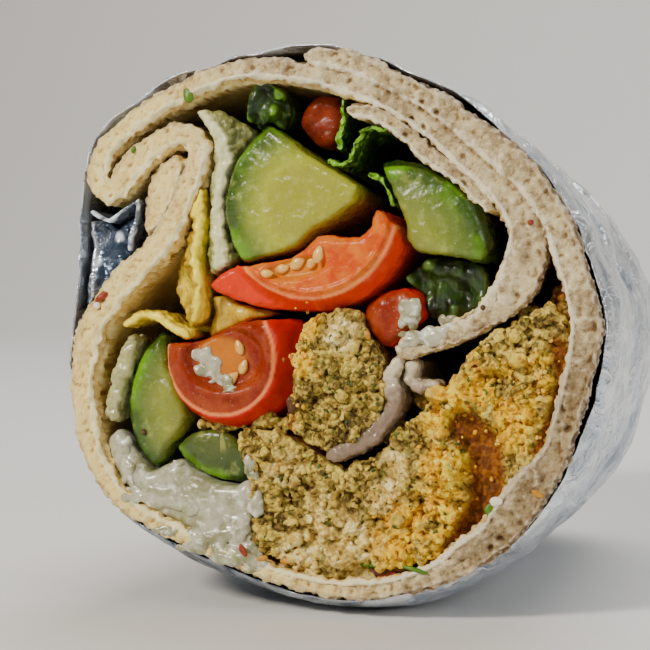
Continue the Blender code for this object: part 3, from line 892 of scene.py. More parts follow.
class WRAP_OT_falafel(Operator):
    """Make the broken falafels with their crumbs"""

    bl_idname = "wrap.falafel"
    bl_label = "Falafel"

    def execute(self, context):
        sizes = context.scene.wrap_falafel
        finish = falafel_finish(sizes)
        self.falafel("falafel_large", "falafel_broken", sizes.lumps, 0.2, 5, finish)
        self.falafel("falafel_small", "falafel_end", sizes.lumps // 4, 0.17, 5, finish)
        self.spills(finish)
        return {"FINISHED"}

    def falafel(self, node, name, count, voxel, keep, finish):
        chance = random.Random(count)

        def crumbs(bm):
            made = 0
            for point, normal in front_points(bm, count * 2, chance):
                x, z, _ = to_section(point)
                if made == count or chance.random() < crust_at(x, z):
                    continue
                size = 0.2 + 1.0 * chance.random() ** 4 + 0.4 * fried_at(x, z) * chance.random() ** 2
                centre = point + normal * (chance.uniform(-0.3, 0.4) * size * MM)
                ball(bm, centre, (size, size * chance.uniform(0.4, 1), size * chance.uniform(0.4, 1)), chance)
                made += 1

        bm = fine_front(node, voxel, keep, squeeze=30, add=crumbs)
        recess(bm, keep + 1, falafel_set_back)

        def broken(vert, x, z, d):
            if d > 9:
                return Vector()
            share = ease(-0.1, 0.5, facing(vert)) * ease(9, 5, d) * (1 - 0.5 * crust_at(x, z))
            hills = 0.7 * rough(vert.co, 5, 2, 5) + 0.4 * rough(vert.co, 2.2, 3, 6)
            clumps = abs(rough(vert.co, 2.6, 1, 4)) * 1.3 + abs(rough(vert.co, 1.2, 1, 9)) * 0.8 - 0.6
            fine = vert.normal * ((0.3 * rough(vert.co, 0.6, 3, 7) + clumps) * share * MM)
            return Vector((0, -hills * share * MM, 0)) + fine + vert.normal * (0.25 * ease(9, 5, d) * MM)

        shift(bm, broken)
        mark_hollows(bm, "hollow", 8, 0.35)
        mark(bm, "pale", lambda v, x, z, d: pale_at(x, z) * ease(-0.3, 0.2, rough(v.co, 2.4, 3, 11) + 0.3))
        mark(bm, "fried", lambda v, x, z, d: fried_at(x, z) * ease(-0.25, 0.2, rough(v.co, 3.2, 3, 1) + 0.2))
        mark(bm, "crust", lambda v, x, z, d: max(crust_at(x, z), ease(0.3, 0.05, facing(v)) * ease(2.0, 3.5, d)))
        publish(bm, name, finish, "falafel", node)

    def spills(self, finish):
        """Crumb pressed between the pieces, a little behind the cut."""
        chance = random.Random(12)
        bm = bmesh.new()
        for x, z, wide, high, depth, count in SPILLS:
            for _ in range(count):
                size = chance.uniform(0.45, 1.1)
                across, up = chance.triangular(-wide, wide, 0), chance.triangular(-high, high, 0)
                centre = from_section(x + across, z + up, depth + chance.uniform(0.0, 1.6))
                ball(bm, centre, (size, size * chance.uniform(0.7, 1), size * chance.uniform(0.6, 1)), chance)
        bm = remeshed(bm, 0.22)
        relief(bm, lambda v, x, z, d: 0.3 * rough(v.co, 1.1, 3, 5))
        mark_hollows(bm, "hollow", 8, 0.35)
        mark(bm, "pale", lambda v, x, z, d: pale_at(x, z) * ease(-0.3, 0.2, rough(v.co, 2.4, 3, 11) + 0.3))
        mark(bm, "fried", lambda v, x, z, d: 0.6 * fried_at(x, z))
        mark(bm, "crust", lambda v, x, z, d: ease(26, 28, x) * ease(-0.3, 0.3, rough(v.co, 2, 2, 3) + 0.3))
        publish(bm, "falafel_crumb_bed", finish, "falafel")


# ---------------------------------------------------------------- tomato


class WrapTomato(PropertyGroup):
    flesh: FloatVectorProperty(
        name="Flesh", description="Colour of the cut flesh", subtype="COLOR", default=tint("cc4600")
    )
    pale: FloatVectorProperty(
        name="Pale flesh", description="Colour of the paler core", subtype="COLOR", default=tint("e27a1c")
    )
    skin: FloatVectorProperty(
        name="Skin", description="Colour of the skin", subtype="COLOR", default=tint("dc3400")
    )
    gel: FloatVectorProperty(
        name="Gel", description="Colour of the jelly round the seeds", subtype="COLOR", default=tint("d07c14")
    )


def tomato_finish(name, sizes, flesh, pale, skin):
    finish = Finish(
        name, specular_ior_level=0.2, subsurface_weight=0.06, subsurface_scale=1 * MM, coat_weight=0.06, coat_roughness=0.04
    )
    finish.shader.inputs["Subsurface Radius"].default_value = (1.0, 0.2, 0.05)
    clouds = finish.noise(3.2, 4, 0.6)
    fibres = finish.noise(0.8, 4, 0.6)
    # Painted highlights: small near-white glints scattered over the cut flesh.
    wet_and_glints = finish.cells(0.5).step(0.16, 0.06) * finish.noise(2.4, 3).step(0.5, 0.58)
    colour = finish.blend(clouds.step(0.35, 0.7), flesh, pale)
    colour = finish.blend(fibres.step(0.5, 0.75) * 0.35, colour, pale)
    colour = finish.blend(finish.read("gel"), colour, tuple(sizes.gel))
    colour = finish.blend(finish.read("skin"), colour, skin)
    # Painted highlight: rim brightens a thin line along the edge of the cut flesh.
    colour = finish.blend(finish.read("rim") * 0.7, colour, tint("ff9a5c"))
    colour = finish.blend(wet_and_glints * (1 - finish.read("skin")) * 0.75, colour, tint("ffe4c4"))
    finish.set("Base Color", colour)
    finish.set("Roughness", fibres * 0.35 + 0.14)
    finish.bump(fibres * 0.5 + wet_and_glints * 0.8, 0.15, 0.7)
    return finish


class WRAP_OT_tomato(Operator):
    """Make the four pieces of tomato and the seeds in them"""

    bl_idname = "wrap.tomato"
    bl_label = "Tomato"

    def execute(self, context):
        sizes = context.scene.wrap_tomato
        bright = tomato_finish("tomato_bright", sizes, tuple(sizes.flesh), tuple(sizes.pale), tuple(sizes.skin))
        # Painted shade: darker copies of the tomato colours, one for the half and the wedge, and the darkest for the
        # chunk.
        painted_shade_tomato = tomato_finish("tomato_painted_shade", sizes, tint("82220a"), tint("a2441c"), tint("c41a00"))
        shaded = tomato_finish("tomato_shaded", sizes, tint("641c06"), tint("8a300a"), tint("741a04"))
        self.crescent(bright)
        self.half(painted_shade_tomato)
        self.plain("tomato_wedge", "tomato_wedge_flesh", painted_shade_tomato, 8, 0.0)
        self.plain("tomato_chunk", "tomato_chunk_skin", shaded, 8, 1.5)
        self.seeds()
        return {"FINISHED"}

    def crescent(self, finish):
        bm = fine_front("tomato_crescent", 0.24, 7)
        soften(bm, 4)

        def below(x, z):
            """Millimetres from the skin's edge, which is round, towards the flesh."""
            return 13.6 - math.hypot(x + 2.6, z - 15.4)

        def gel(x, z):
            return ease(1, 0.5, math.hypot((x + 4.2) / 4.8, (z - 7.4 - 0.14 * (x + 4)) / 1.8))

        recess(bm, 7, lambda x, z: 2.2 * ease(2.0, -0.4, below(x, z)) - 0.7 * ease(0, 4, below(x, z)))
        recess(bm, 7, lambda x, z: 1.5 * gel(x, z) - 0.5 * ease(0.5, 0, abs(below(x, z) - 2.6)))
        relief(bm, lambda v, x, z, d: 0.2 * rough(v.co, 2.0, 3, 2) * ease(8, 3, d))
        mark(bm, "skin", lambda v, x, z, d: max(ease(1.75, 1.45, below(x, z)), ease(0.3, 0.1, facing(v))))
        # Painted highlight: a thin line just inside the skin.
        mark(bm, "rim", lambda v, x, z, d: ease(0.3, 0.1, abs(below(x, z) - 1.7)) * ease(4, 2, d))
        mark(bm, "gel", lambda v, x, z, d: gel(x, z))
        publish(bm, "tomato_crescent_flesh", finish, "tomato", "tomato_crescent")

    def half(self, finish):
        bm = fine_front("tomato_half", 0.24, 8)
        soften(bm, 4)

        def ring(x, z):
            return math.hypot((x + 15.2) / 8.0, (z + 4.4) / 8.2)

        def cavity(x, z):
            return math.hypot((x + 14.6) / 5.6, (z + 4.6) / 4.3)

        recess(bm, 8, lambda x, z: 4.5 * ease(0.96, 1.35, ring(x, z)))
        recess(bm, 8, lambda x, z: 1.5 * ease(1.05, 0.8, cavity(x, z)) - 0.4 * ease(0.25, 0, abs(cavity(x, z) - 1.15)))
        relief(bm, lambda v, x, z, d: 0.18 * rough(v.co, 2.0, 3, 5) * ease(8, 3, d))
        mark(bm, "skin", lambda v, x, z, d: max(ease(0.93, 0.97, ring(x, z)), ease(0.3, 0.1, facing(v))))
        # Painted highlight: a thin line along the lower edge of the cut face.
        mark(bm, "rim", lambda v, x, z, d: ease(0.04, 0.015, abs(ring(x, z) - 0.95)) * ease(5, 3, d) * ease(2, 0, z))
        mark(bm, "gel", lambda v, x, z, d: 0.75 * ease(0.75, 0.5, cavity(x + 1, z)))
        publish(bm, "tomato_half_flesh", finish, "tomato", "tomato_half")

    def plain(self, node, name, finish, keep, back):
        bm = fine_front(node, 0.26, keep)
        soften(bm, 6)
        recess(bm, keep, lambda x, z: back)
        relief(bm, lambda v, x, z, d: (0.3 * rough(v.co, 2.6, 3, 4) + 0.6) * ease(9, 4, d))
        mark(bm, "skin", lambda v, x, z, d: ease(0.7, 0.4, facing(v)))
        publish(bm, name, finish, "tomato", node)

    def seeds(self):
        finish = Finish("tomato_seed", coat_weight=0.4, subsurface_weight=0.2, subsurface_scale=1 * MM)
        finish.set("Base Color", finish.ramp(finish.noise(1.2), (0.3, tint("d99430")), (0.7, tint("f2c868"))))
        finish.set("Roughness", finish.noise(0.6) * 0.3 + 0.15)
        chance = random.Random(8)
        bm = bmesh.new()
        places = (
            # piece, x, z, turn in degrees
            ("tomato_crescent_flesh", -6.4, 7.3, 15),
            ("tomato_crescent_flesh", -4.2, 8.1, 35),
            ("tomato_crescent_flesh", -2.2, 8.4, 62),
            ("tomato_crescent_flesh", -0.9, 9.3, 75),
            ("tomato_crescent_flesh", -8.3, 6.6, 5),
            ("tomato_half_flesh", -12.4, -5.8, 70),
            ("tomato_half_flesh", -14.1, -7.4, 40),
            ("tomato_half_flesh", -12.9, -3.2, 110),
        )
        for name, x, z, turn in places:
            point, normal = drop(x, z, name)
            size = Vector((1.15, 0.5, 0.72)) * MM * chance.uniform(0.85, 1.1)
            placed = Matrix.LocRotScale(point + normal * 0.2 * MM, Euler((0, math.radians(-turn), 0)), size)
            made = bmesh.ops.create_icosphere(bm, subdivisions=3, radius=1, matrix=placed)["verts"]
            away = placed.to_3x3().col[0].normalized()
            for vert in made:
                offset = vert.co - placed.translation
                along = offset.dot(away)
                vert.co -= (offset - away * along) * 0.35 * ease(-0.2, 1.2, along / MM)
        publish(bm, "tomato_seeds", finish, "tomato")


# ---------------------------------------------------------------- cucumber


class WrapCucumber(PropertyGroup):
    flesh: FloatVectorProperty(
        name="Flesh", description="Colour of the flesh", subtype="COLOR", default=tint("a4a830")
    )
    wet_and_glints: FloatVectorProperty(
        name="Wet flesh", description="Colour of the glassy parts of the flesh", subtype="COLOR", default=tint("6a7c26")
    )
    rind: FloatVectorProperty(
        name="Under the skin", description="Colour just under the skin", subtype="COLOR", default=tint("649a00")
    )
    skin: FloatVectorProperty(
        name="Skin", description="Colour of the skin", subtype="COLOR", default=tint("1c3406")
    )


def cucumber_finish(name, sizes, reach, shade_share, shade_colour):
    """reach is how many millimetres the green under the skin goes in; the last two give how far a piece that lies in
    shade is painted over with a muted colour as painted shade, and that colour.
    """
    finish = Finish(
        name, specular_ior_level=0.4, subsurface_weight=0.08, subsurface_scale=2 * MM, coat_weight=0.12, coat_roughness=0.05
    )
    finish.shader.inputs["Subsurface Radius"].default_value = (0.7, 1.0, 0.2)
    skin_depth, around = finish.read("skin_depth"), finish.read("around")
    polar = finish.node("ShaderNodeCombineXYZ", {}, {"X": skin_depth * (0.3 * MM), "Y": around * MM})
    clouds = finish.noise(3.5, 4, 0.6)
    streaks = finish.noise(0.8, 4, 0.6, polar)
    tone = clouds * 0.75 + streaks * 0.25
    rind = finish.blend(finish.noise(7, 2).step(0.42, 0.6), tint("34500c"), tuple(sizes.rind))
    inside = finish.ramp(
        (skin_depth + tone * 3 - 1.5) / reach,
        (0.1, tint("33450e")),
        (0.4, tuple(sizes.wet_and_glints)),
        (0.8, tuple(sizes.flesh)),
        (1.0, tint("98982c")),
    )
    # Painted shade: a piece lying in shade is muted towards its shade colour.
    inside = finish.blend(shade_share, inside, tint(shade_colour))
    colour = finish.blend(skin_depth.step(reach * 0.42, 0.8), inside, rind)
    colour = finish.blend(finish.noise(1.8, 4, 0.6).step(0.52, 0.7) * 0.25, colour, tint("c8cc70"))
    colour = finish.blend(skin_depth.step(0.7, 0.35), colour, tuple(sizes.skin))
    band = skin_depth.step(4, 5.5) * skin_depth.step(9.5, 8)
    seeds = finish.cells(2.8, where=polar, randomness=0.8).step(0.3, 0.16) * band
    colour = finish.blend(seeds * 0.3, colour, tint("dcd878"))
    # Painted highlights: small near-white glints scattered over the flesh.
    wet_and_glints = finish.cells(0.7).step(0.14, 0.05) * finish.noise(2.4, 3).step(0.48, 0.58)
    colour = finish.blend(wet_and_glints * 0.75, colour, tint("f6f6cc"))
    finish.set("Base Color", colour)
    finish.set("Roughness", finish.noise(1.1, 4) * 0.35 + 0.08)
    finish.bump(finish.noise(0.8, 4, 0.6) * 0.8 + streaks * 0.2 + wet_and_glints * 0.6, 0.2, 0.7)
    return finish


SLICES = {
    # node: (new name, centre of the round it was cut from, its radius, reach of the green, share of painted shade,
    # colour of the painted shade)
    "cucumber_half_slice": ("cucumber_half_flesh", (-2.5, 15.3), 12.4, 7.5, 0.0, "55662a"),
    "cucumber_third_slice": ("cucumber_third_flesh", (8.9, 8.9), 12.2, 8.5, 0.55, "5a6c2a"),
    "cucumber_side_slice": ("cucumber_side_flesh", (-17.4, -11.3), 12.4, 7.0, 0.5, "58662a"),
    "cucumber_end_slice": ("cucumber_end_flesh", (-16.4, -13.0), 8.8, 7.0, 0.85, "36481c"),
}


class WRAP_OT_cucumber(Operator):
    """Make the four cut pieces of cucumber"""

    bl_idname = "wrap.cucumber"
    bl_label = "Cucumber"

    def execute(self, context):
        sizes = context.scene.wrap_cucumber
        for seed, (node, (name, centre, radius, *look)) in enumerate(SLICES.items()):
            self.slice(node, name, seed, centre, radius, cucumber_finish(name + "_cut", sizes, *look))
        return {"FINISHED"}

    def slice(self, node, name, seed, centre, radius, finish):
        def inward(x, z):
            return radius - math.hypot(x - centre[0], z - centre[1])

        def surface(vert, x, z, d):
            return (0.22 * rough(vert.co, 3, 3, seed) + 0.06 * rough(vert.co, 0.8, 2) + 0.15) * ease(8, 3, d)

        bm = fine_front(node, 0.24, 7)
        soften(bm, 4)
        recess(bm, 7, lambda x, z: 0.9 * ease(1.3, 0, inward(x, z)) - 0.4 * ease(1, 5, inward(x, z)))
        relief(bm, surface)
        mark(bm, "skin_depth", lambda v, x, z, d: max(inward(x, z), 0))
        mark(bm, "around", lambda v, x, z, d: math.atan2(x - centre[0], z - centre[1]) * radius * 0.6)
        publish(bm, name, finish, "cucumber", node)


# ---------------------------------------------------------------- greens


class WrapGreens(PropertyGroup):
    lettuce: FloatVectorProperty(
        name="Lettuce", description="Colour of the pale lettuce", subtype="COLOR", default=tint("cfb02c")
    )
    frill: FloatVectorProperty(
        name="Frill", description="Colour of the lettuce's edges", subtype="COLOR", default=tint("ffe83c")
    )
    leaf: FloatVectorProperty(
        name="Leaf", description="Colour of the dark leaves", subtype="COLOR", default=tint("28400c")
    )


def leaf_finish(name, main, other, frill, vein=0.9, turn=(0, 0, 0)):
    """The flanks are a mottle of main and other, darkened towards other in the hollows as painted shade; frill is the
    colour of cut edges, ridges and veins, and the painted highlight on raised folds.
    """
    finish = Finish(
        name, specular_ior_level=0.4, subsurface_weight=0.1, subsurface_scale=1 * MM, coat_weight=0.15, coat_roughness=0.1
    )
    clouds = finish.noise(3.0, 4, 0.6)
    colour = finish.blend(clouds.step(0.35, 0.68), main, other)
    lines = finish.noise(vein, 3, 0.5, finish.stretched(1, 1, 0.22, turn))
    colour = finish.blend(lines.step(0.54, 0.7) * 0.6, colour, frill)
    colour = finish.blend(finish.read("frill"), colour, frill)
    # Painted shade: the hollows turn to the darker colour.
    colour = finish.blend(finish.read("hollow").step(0.0, 0.7) * 0.7, colour, other)
    finish.set("Base Color", colour)
    finish.set("Roughness", clouds * 0.3 + 0.2)
    finish.bump(lines * 0.9 + finish.noise(0.5, 3) * 0.4, 0.22, 0.7)
    return finish


LETTUCE_RIDGE = ((-18.3, 20.2), (-18.5, 15), (-18.1, 12.5), (-18.9, 8), (-18, 5), (-18.5, 1.5), (-18.9, -1))
RIB_RIDGE = ((-18.9, 28.2), (-15.6, 24.5), (-14.9, 21.5), (-15.4, 19), (-15.9, 13), (-15.5, 7.5))
SHRED_RIDGE = ((-28.8, -0.3), (-26.6, 0.9), (-24.4, 0.8), (-22.2, -0.7), (-20.2, -1.7))


class WRAP_OT_greens(Operator):
    """Make the pale lettuce and the dark green leaves"""

    bl_idname = "wrap.greens"
    bl_label = "Greens"

    def execute(self, context):
        sizes = context.scene.wrap_greens
        frill, leaf = tuple(sizes.frill), tuple(sizes.leaf)
        pale = leaf_finish("lettuce_pale", tuple(sizes.lettuce), tint("96761c"), frill)
        glassy = leaf_finish("lettuce_rib_glassy", tint("9a9a58"), tint("6e7038"), tint("dad9a4"), 0.6, (0, -0.25, 0))
        dark = leaf_finish("leaf_dark", leaf, tint("0c1406"), tint("4a6a1c"))
        folded = leaf_finish("leaf_folded_lit", tint("2c4a08"), tint("12200a"), tint("6a9a1e"))
        fresh = leaf_finish("leaf_fresh", tint("2f5206"), tint("14260a"), tint("78b414"))
        self.ridged("lettuce_rib", "lettuce_rib_cut", glassy, RIB_RIDGE, 1.2, 2.6)
        self.ridged("lettuce_leaf", "lettuce_leaf_cut", pale, LETTUCE_RIDGE, 0.9, 3.4)
        self.ridged("lettuce_shred", "lettuce_shred_cut", pale, SHRED_RIDGE, 0.8, 1.5)
        self.ruffled("lettuce_under", "lettuce_under_cut", "lettuce", pale, 0.5, 1)
        self.ruffled("leaf_upright", "leaf_upright_cut", "leaf", fresh, 0.45, 2)
        self.ruffled("leaf_curl", "leaf_curl_cut", "leaf", fresh, 0.45, 3)
        self.ruffled("leaf_stem", "leaf_stem_cut", "leaf", fresh, 0.45, 4)
        self.ruffled("leaf_folded", "leaf_folded_cut", "leaf", folded, 1.3, 5)
        self.ruffled("leaf_bundle", "leaf_bundle_cut", "leaf", dark, 0.9, 6)
        return {"FINISHED"}

    def ridged(self, node, name, finish, ridge, width, fall):
        """A leaf whose frilled edge stands out along ridge and whose flanks lie fall millimetres back."""

        def away(x, z):
            frilled = 0.45 * noise.noise(Vector((x / 1.1, z / 1.1, 4))) + 0.3 * noise.noise(Vector((x, z / 0.5, 9)))
            return path_distance(ridge, x, z) + frilled

        bm = fine_front(node, 0.2, 6)
        soften(bm, 2)
        recess(bm, 6, lambda x, z: fall * ease(width * 0.4, width * 0.4 + 3, away(x, z)) - 0.5)
        relief(bm, lambda v, x, z, d: (0.35 * rough(v.co, 1.5, 3, 7) + 0.15) * ease(8, 3, d))
        mark(bm, "frill", lambda v, x, z, d: ease(width, width * 0.5, away(x, z)) * ease(4, 1.5, d))
        mark_hollows(bm, "hollow", 5, 0.3)
        publish(bm, name, finish, "lettuce", node)

    def ruffled(self, node, name, slot, finish, wave, seed):
        """A leaf seen on its cut edge or its folds; the thin ones are all edge."""
        thin = wave < 0.5 and slot == "leaf"
        wide = 1.3 if thin else 2.8

        def ruffle(vert, x, z, d):
            fine = 0.3 * rough(vert.co, 0.9, 3, seed + 5) - 0.2 if thin else 0.1
            return (0.45 * wave * rough(vert.co, wide, 3, seed) + fine) * ease(8, 3, d)

        bm = fine_front(node, 0.18 if thin else 0.22, 6)
        soften(bm, 2)
        recess(bm, 6, lambda x, z: 2.4 * wave * noise.noise(Vector((x / wide, z / wide, seed))))
        relief(bm, ruffle)
        mark_hollows(bm, "hollow", 6, 0.25)
        lifts = hollows(bm, 14, 0.5)
        bm.verts.index_update()

        # Thin leaves take the frill colour on their whole cut edge; on the thicker ones it goes on the raised folds as
        # a painted highlight.
        def frill(vert, x, z, d):
            lifted = 1.0 if thin else ease(0.1, 0.7, -lifts[vert.index])
            return lifted * ease(0.3, 0.8, facing(vert)) * ease(4, 2, d)

        mark(bm, "frill", frill)
        publish(bm, name, finish, slot, node)


# ---------------------------------------------------------------- onion


class WrapOnion(PropertyGroup):
    flesh: FloatVectorProperty(
        name="Flesh", description="Colour of the onion", subtype="COLOR", default=tint("cfc0a0")
    )
    # Painted shade: the strips' lower, unlit part takes this colour.
    shade: FloatVectorProperty(
        name="Shade", description="Colour where the onion is clear", subtype="COLOR", default=tint("86705c")
    )


def onion_finish(name, shade, flesh, pale, along):
    finish = Finish(
        name, specular_ior_level=0.5, subsurface_weight=0.2, subsurface_scale=1.5 * MM, coat_weight=0.3, coat_roughness=0.06
    )
    clouds = finish.noise(2.0, 4, 0.6)
    # Painted light: lit paints the upper part of the strips in flesh and the lower part in shade as painted shade; the
    # paler streaks show only where lit.
    lit = (finish.read("lit") + clouds * 1.2 - 0.6).step(0.15, 0.85)
    lines = finish.noise(0.5, 3, 0.5, finish.stretched(*along))
    colour = finish.blend(lit, shade, flesh)
    finish.set("Base Color", finish.blend(lines.step(0.5, 0.68) * lit * 0.5, colour, pale))
    finish.set("Roughness", clouds * 0.35 + 0.06)
    finish.bump(lines + clouds * 0.6, 0.16, 0.7)
    return finish


class WRAP_OT_onion(Operator):
    """Make the strips of onion"""

    bl_idname = "wrap.onion"
    bl_label = "Onion"

    def execute(self, context):
        sizes = context.scene.wrap_onion
        strip = onion_finish(
            "onion_strip_flesh", tuple(sizes.shade), tuple(sizes.flesh), tint("d8c8a8"), (1, 0.1, 1)
        )
        glassy = onion_finish("onion_glassy", tint("8c8a50"), tint("c9c88c"), tint("f0efd0"), (1, 0.2, 0.2))
        for seed, (node, finish) in enumerate((("onion_strip", strip), ("onion_curl", strip), ("onion_slice", glassy))):
            bm = fine_front(node, 0.2, 6)
            soften(bm, 3)
            relief(bm, lambda v, x, z, d: (0.3 * rough(v.co, 1.8, 3, seed) + 0.2 * rough(v.co, 0.7, 2, 9) + 0.25) * ease(8, 3, d))
            # Painted light: the strips are lit above and painted in shade below; the glassy slice gets an even mix.
            mark(bm, "lit", lambda v, x, z, d: 0.15 + 0.85 * ease(-10, -4, z) if seed < 2 else 0.5)
            publish(bm, node + "_cut", finish, "onion", node)
        return {"FINISHED"}


# ---------------------------------------------------------------- sauce


class WrapSauce(PropertyGroup):
    colour: FloatVectorProperty(
        name="Sauce", description="Colour of the tahini sauce", subtype="COLOR", default=tint("bcb8a0")
    )
    thin: FloatVectorProperty(
        name="Thin sauce", description="Colour where the sauce is thin", subtype="COLOR", default=tint("8e8c64")
    )


BLOBS = (
    # x, z, half-width, half-height, how thick, in millimetres
    (-18.4, -4.2, 1.6, 1.2, 0.6),
    (-17.4, -6.0, 2.2, 1.4, 0.6),
    (-15.6, -7.6, 2.0, 1.0, 0.5),
    (-14.0, -8.6, 1.2, 0.6, 0.4),
    (12.6, -1.2, 2.8, 1.3, 0.5),
    (14.6, 0.4, 2.0, 1.2, 0.4),
    (10.0, -1.8, 2.0, 1.3, 0.5),
    (10.2, 1.6, 1.6, 2.2, 0.4),
    (-15, -29.2, 2.8, 1.6, 0.8),
    (-12.4, -30.6, 2.6, 1.6, 0.9),
    (-17.8, -28.4, 2.4, 1.3, 0.7),
    (-10.4, -32, 1.8, 1.1, 0.7),
    (-13.4, -27.0, 2.2, 1.8, 0.8),
    (-10.8, -24.2, 1.4, 2.0, 0.6),
    (-24.5, -23.6, 3.4, 1.7, 0.8),
    (-20.6, -24.6, 2.4, 1.4, 0.7),
    (-28.0, -23.6, 1.8, 1.4, 0.6),
    (-29.8, -17.0, 1.0, 1.8, 0.8),
    (-29.0, -20.4, 1.1, 1.8, 0.8),
    (-22.6, -18.8, 1.8, 0.8, 0.6),
    (-11.2, -19.0, 1.0, 2.2, 0.5),
    (-19.8, -30.0, 2.6, 1.1, 0.5),
    (-16.2, -31.2, 2.4, 1.1, 0.5),
    (-23.5, -28.2, 2.2, 0.9, 0.4),
)


class WRAP_OT_sauce(Operator):
    """Make the pool of tahini sauce and the smears of it on the filling"""

    bl_idname = "wrap.sauce"
    bl_label = "Sauce"

    def execute(self, context):
        sizes = context.scene.wrap_sauce
        finish = Finish(
            "tahini", subsurface_weight=0.2, subsurface_scale=1.5 * MM, coat_weight=0.3, coat_roughness=0.12
        )
        clouds = finish.noise(3.0, 4, 0.6)
        colour = finish.blend(clouds.step(0.36, 0.62), tuple(sizes.thin), tuple(sizes.colour))
        colour = finish.blend(finish.noise(1.2, 3).step(0.52, 0.68) * 0.75, colour, tint("eceada"))
        colour = finish.blend(finish.noise(2.0, 4).step(0.58, 0.68) * 0.5, colour, tint("7f8a30"))
        finish.set("Base Color", colour)
        finish.set("Roughness", clouds * 0.3 + 0.1)
        finish.bump(finish.noise(1.4, 3), 0.2, 0.5)
        bm = fine_front("tahini_sauce", 0.3, 8)
        soften(bm, 6)
        recess(bm, 8, lambda x, z: 1.3 * noise.noise(Vector((x / 5, z / 5, 2.5))) - 0.4)
        relief(bm, lambda v, x, z, d: (0.22 * rough(v.co, 3.2, 2, 3) + 0.5) * ease(9, 3, d))
        publish(bm, "tahini_pool", finish, "sauce", "tahini_sauce")
        self.smears(finish)
        return {"FINISHED"}

    def smears(self, finish):
        bm = bmesh.new()
        chance = random.Random(4)
        for x, z, wide, high, thick in BLOBS:
            for _ in range(int(8 + 3 * wide * high)):
                found = drop(x + chance.uniform(-0.7, 0.7) * wide, z + chance.uniform(-0.7, 0.7) * high)
                if not found or to_section(found[0])[2] > 4.5:
                    continue
                size = Vector((wide * 0.5, thick * 0.8, high * 0.55)) * chance.uniform(0.6, 1.0)
                placed = Matrix.LocRotScale(found[0], Euler((0, chance.uniform(-0.5, 0.5), 0)), size * MM)
                bmesh.ops.create_icosphere(bm, subdivisions=2, radius=1, matrix=placed)
        bm = remeshed(bm, 0.16)
        soften(bm, 14)
        publish(bm, "tahini_smears", finish, "sauce")


# ---------------------------------------------------------------- crumbs and herbs


class WrapBits(PropertyGroup):
    herbs: IntProperty(name="Herbs", description="Flecks of chopped herb on the falafel", default=110)
    crumbs: IntProperty(name="Crumbs", description="Loose crumbs along the cut", default=160)


SCRAPS = (
    # x, z, half-width, half-height, turn in degrees, colour: 0 green, 0.25 red, 0.5 brown, 0.75 golden, 1 white
    (-30.2, 21.2, 0.9, 0.5, 40, 0.0),
    (-29.0, 22.4, 1.0, 0.5, 30, 0.0),
    (-28.0, 23.4, 0.6, 0.35, 60, 0.0),
    (-19.6, 30.0, 0.7, 1.0, 20, 0.0),
    (-32.3, 3.3, 1.1, 0.5, 35, 0.25),
    (-33.0, 2.1, 0.5, 0.5, 0, 1.0),
    (26.3, 13.4, 0.4, 0.4, 0, 0.25),
    (20.3, 2.6, 0.35, 0.3, 0, 0.5),
    (27.5, -20.8, 0.9, 0.45, -20, 0.75),
    (21.3, -23.3, 0.9, 0.8, 30, 0.0),
    (22.3, -22.0, 0.8, 0.6, 0, 1.0),
    (-12.0, -30.2, 0.45, 1.0, 20, 0.25),
    (-9.6, -31.2, 0.9, 0.45, 15, 0.75),
    (-6.6, -32.0, 0.9, 0.45, 10, 0.75),
    (7.0, -32.7, 1.5, 0.8, 10, 0.25),
    (5.2, -31.9, 1.6, 0.4, 0, 0.0),
    (11.6, -31.4, 1.8, 0.3, -12, 0.0),
    (-26.9, -15.0, 0.4, 0.4, 0, 0.5),
    (-33.0, -9.0, 0.35, 0.35, 0, 0.5),
    (-5.6, -11.6, 0.6, 1.2, 10, 0.5),
    (5.2, -1.2, 0.5, 0.7, 20, 0.75),
)


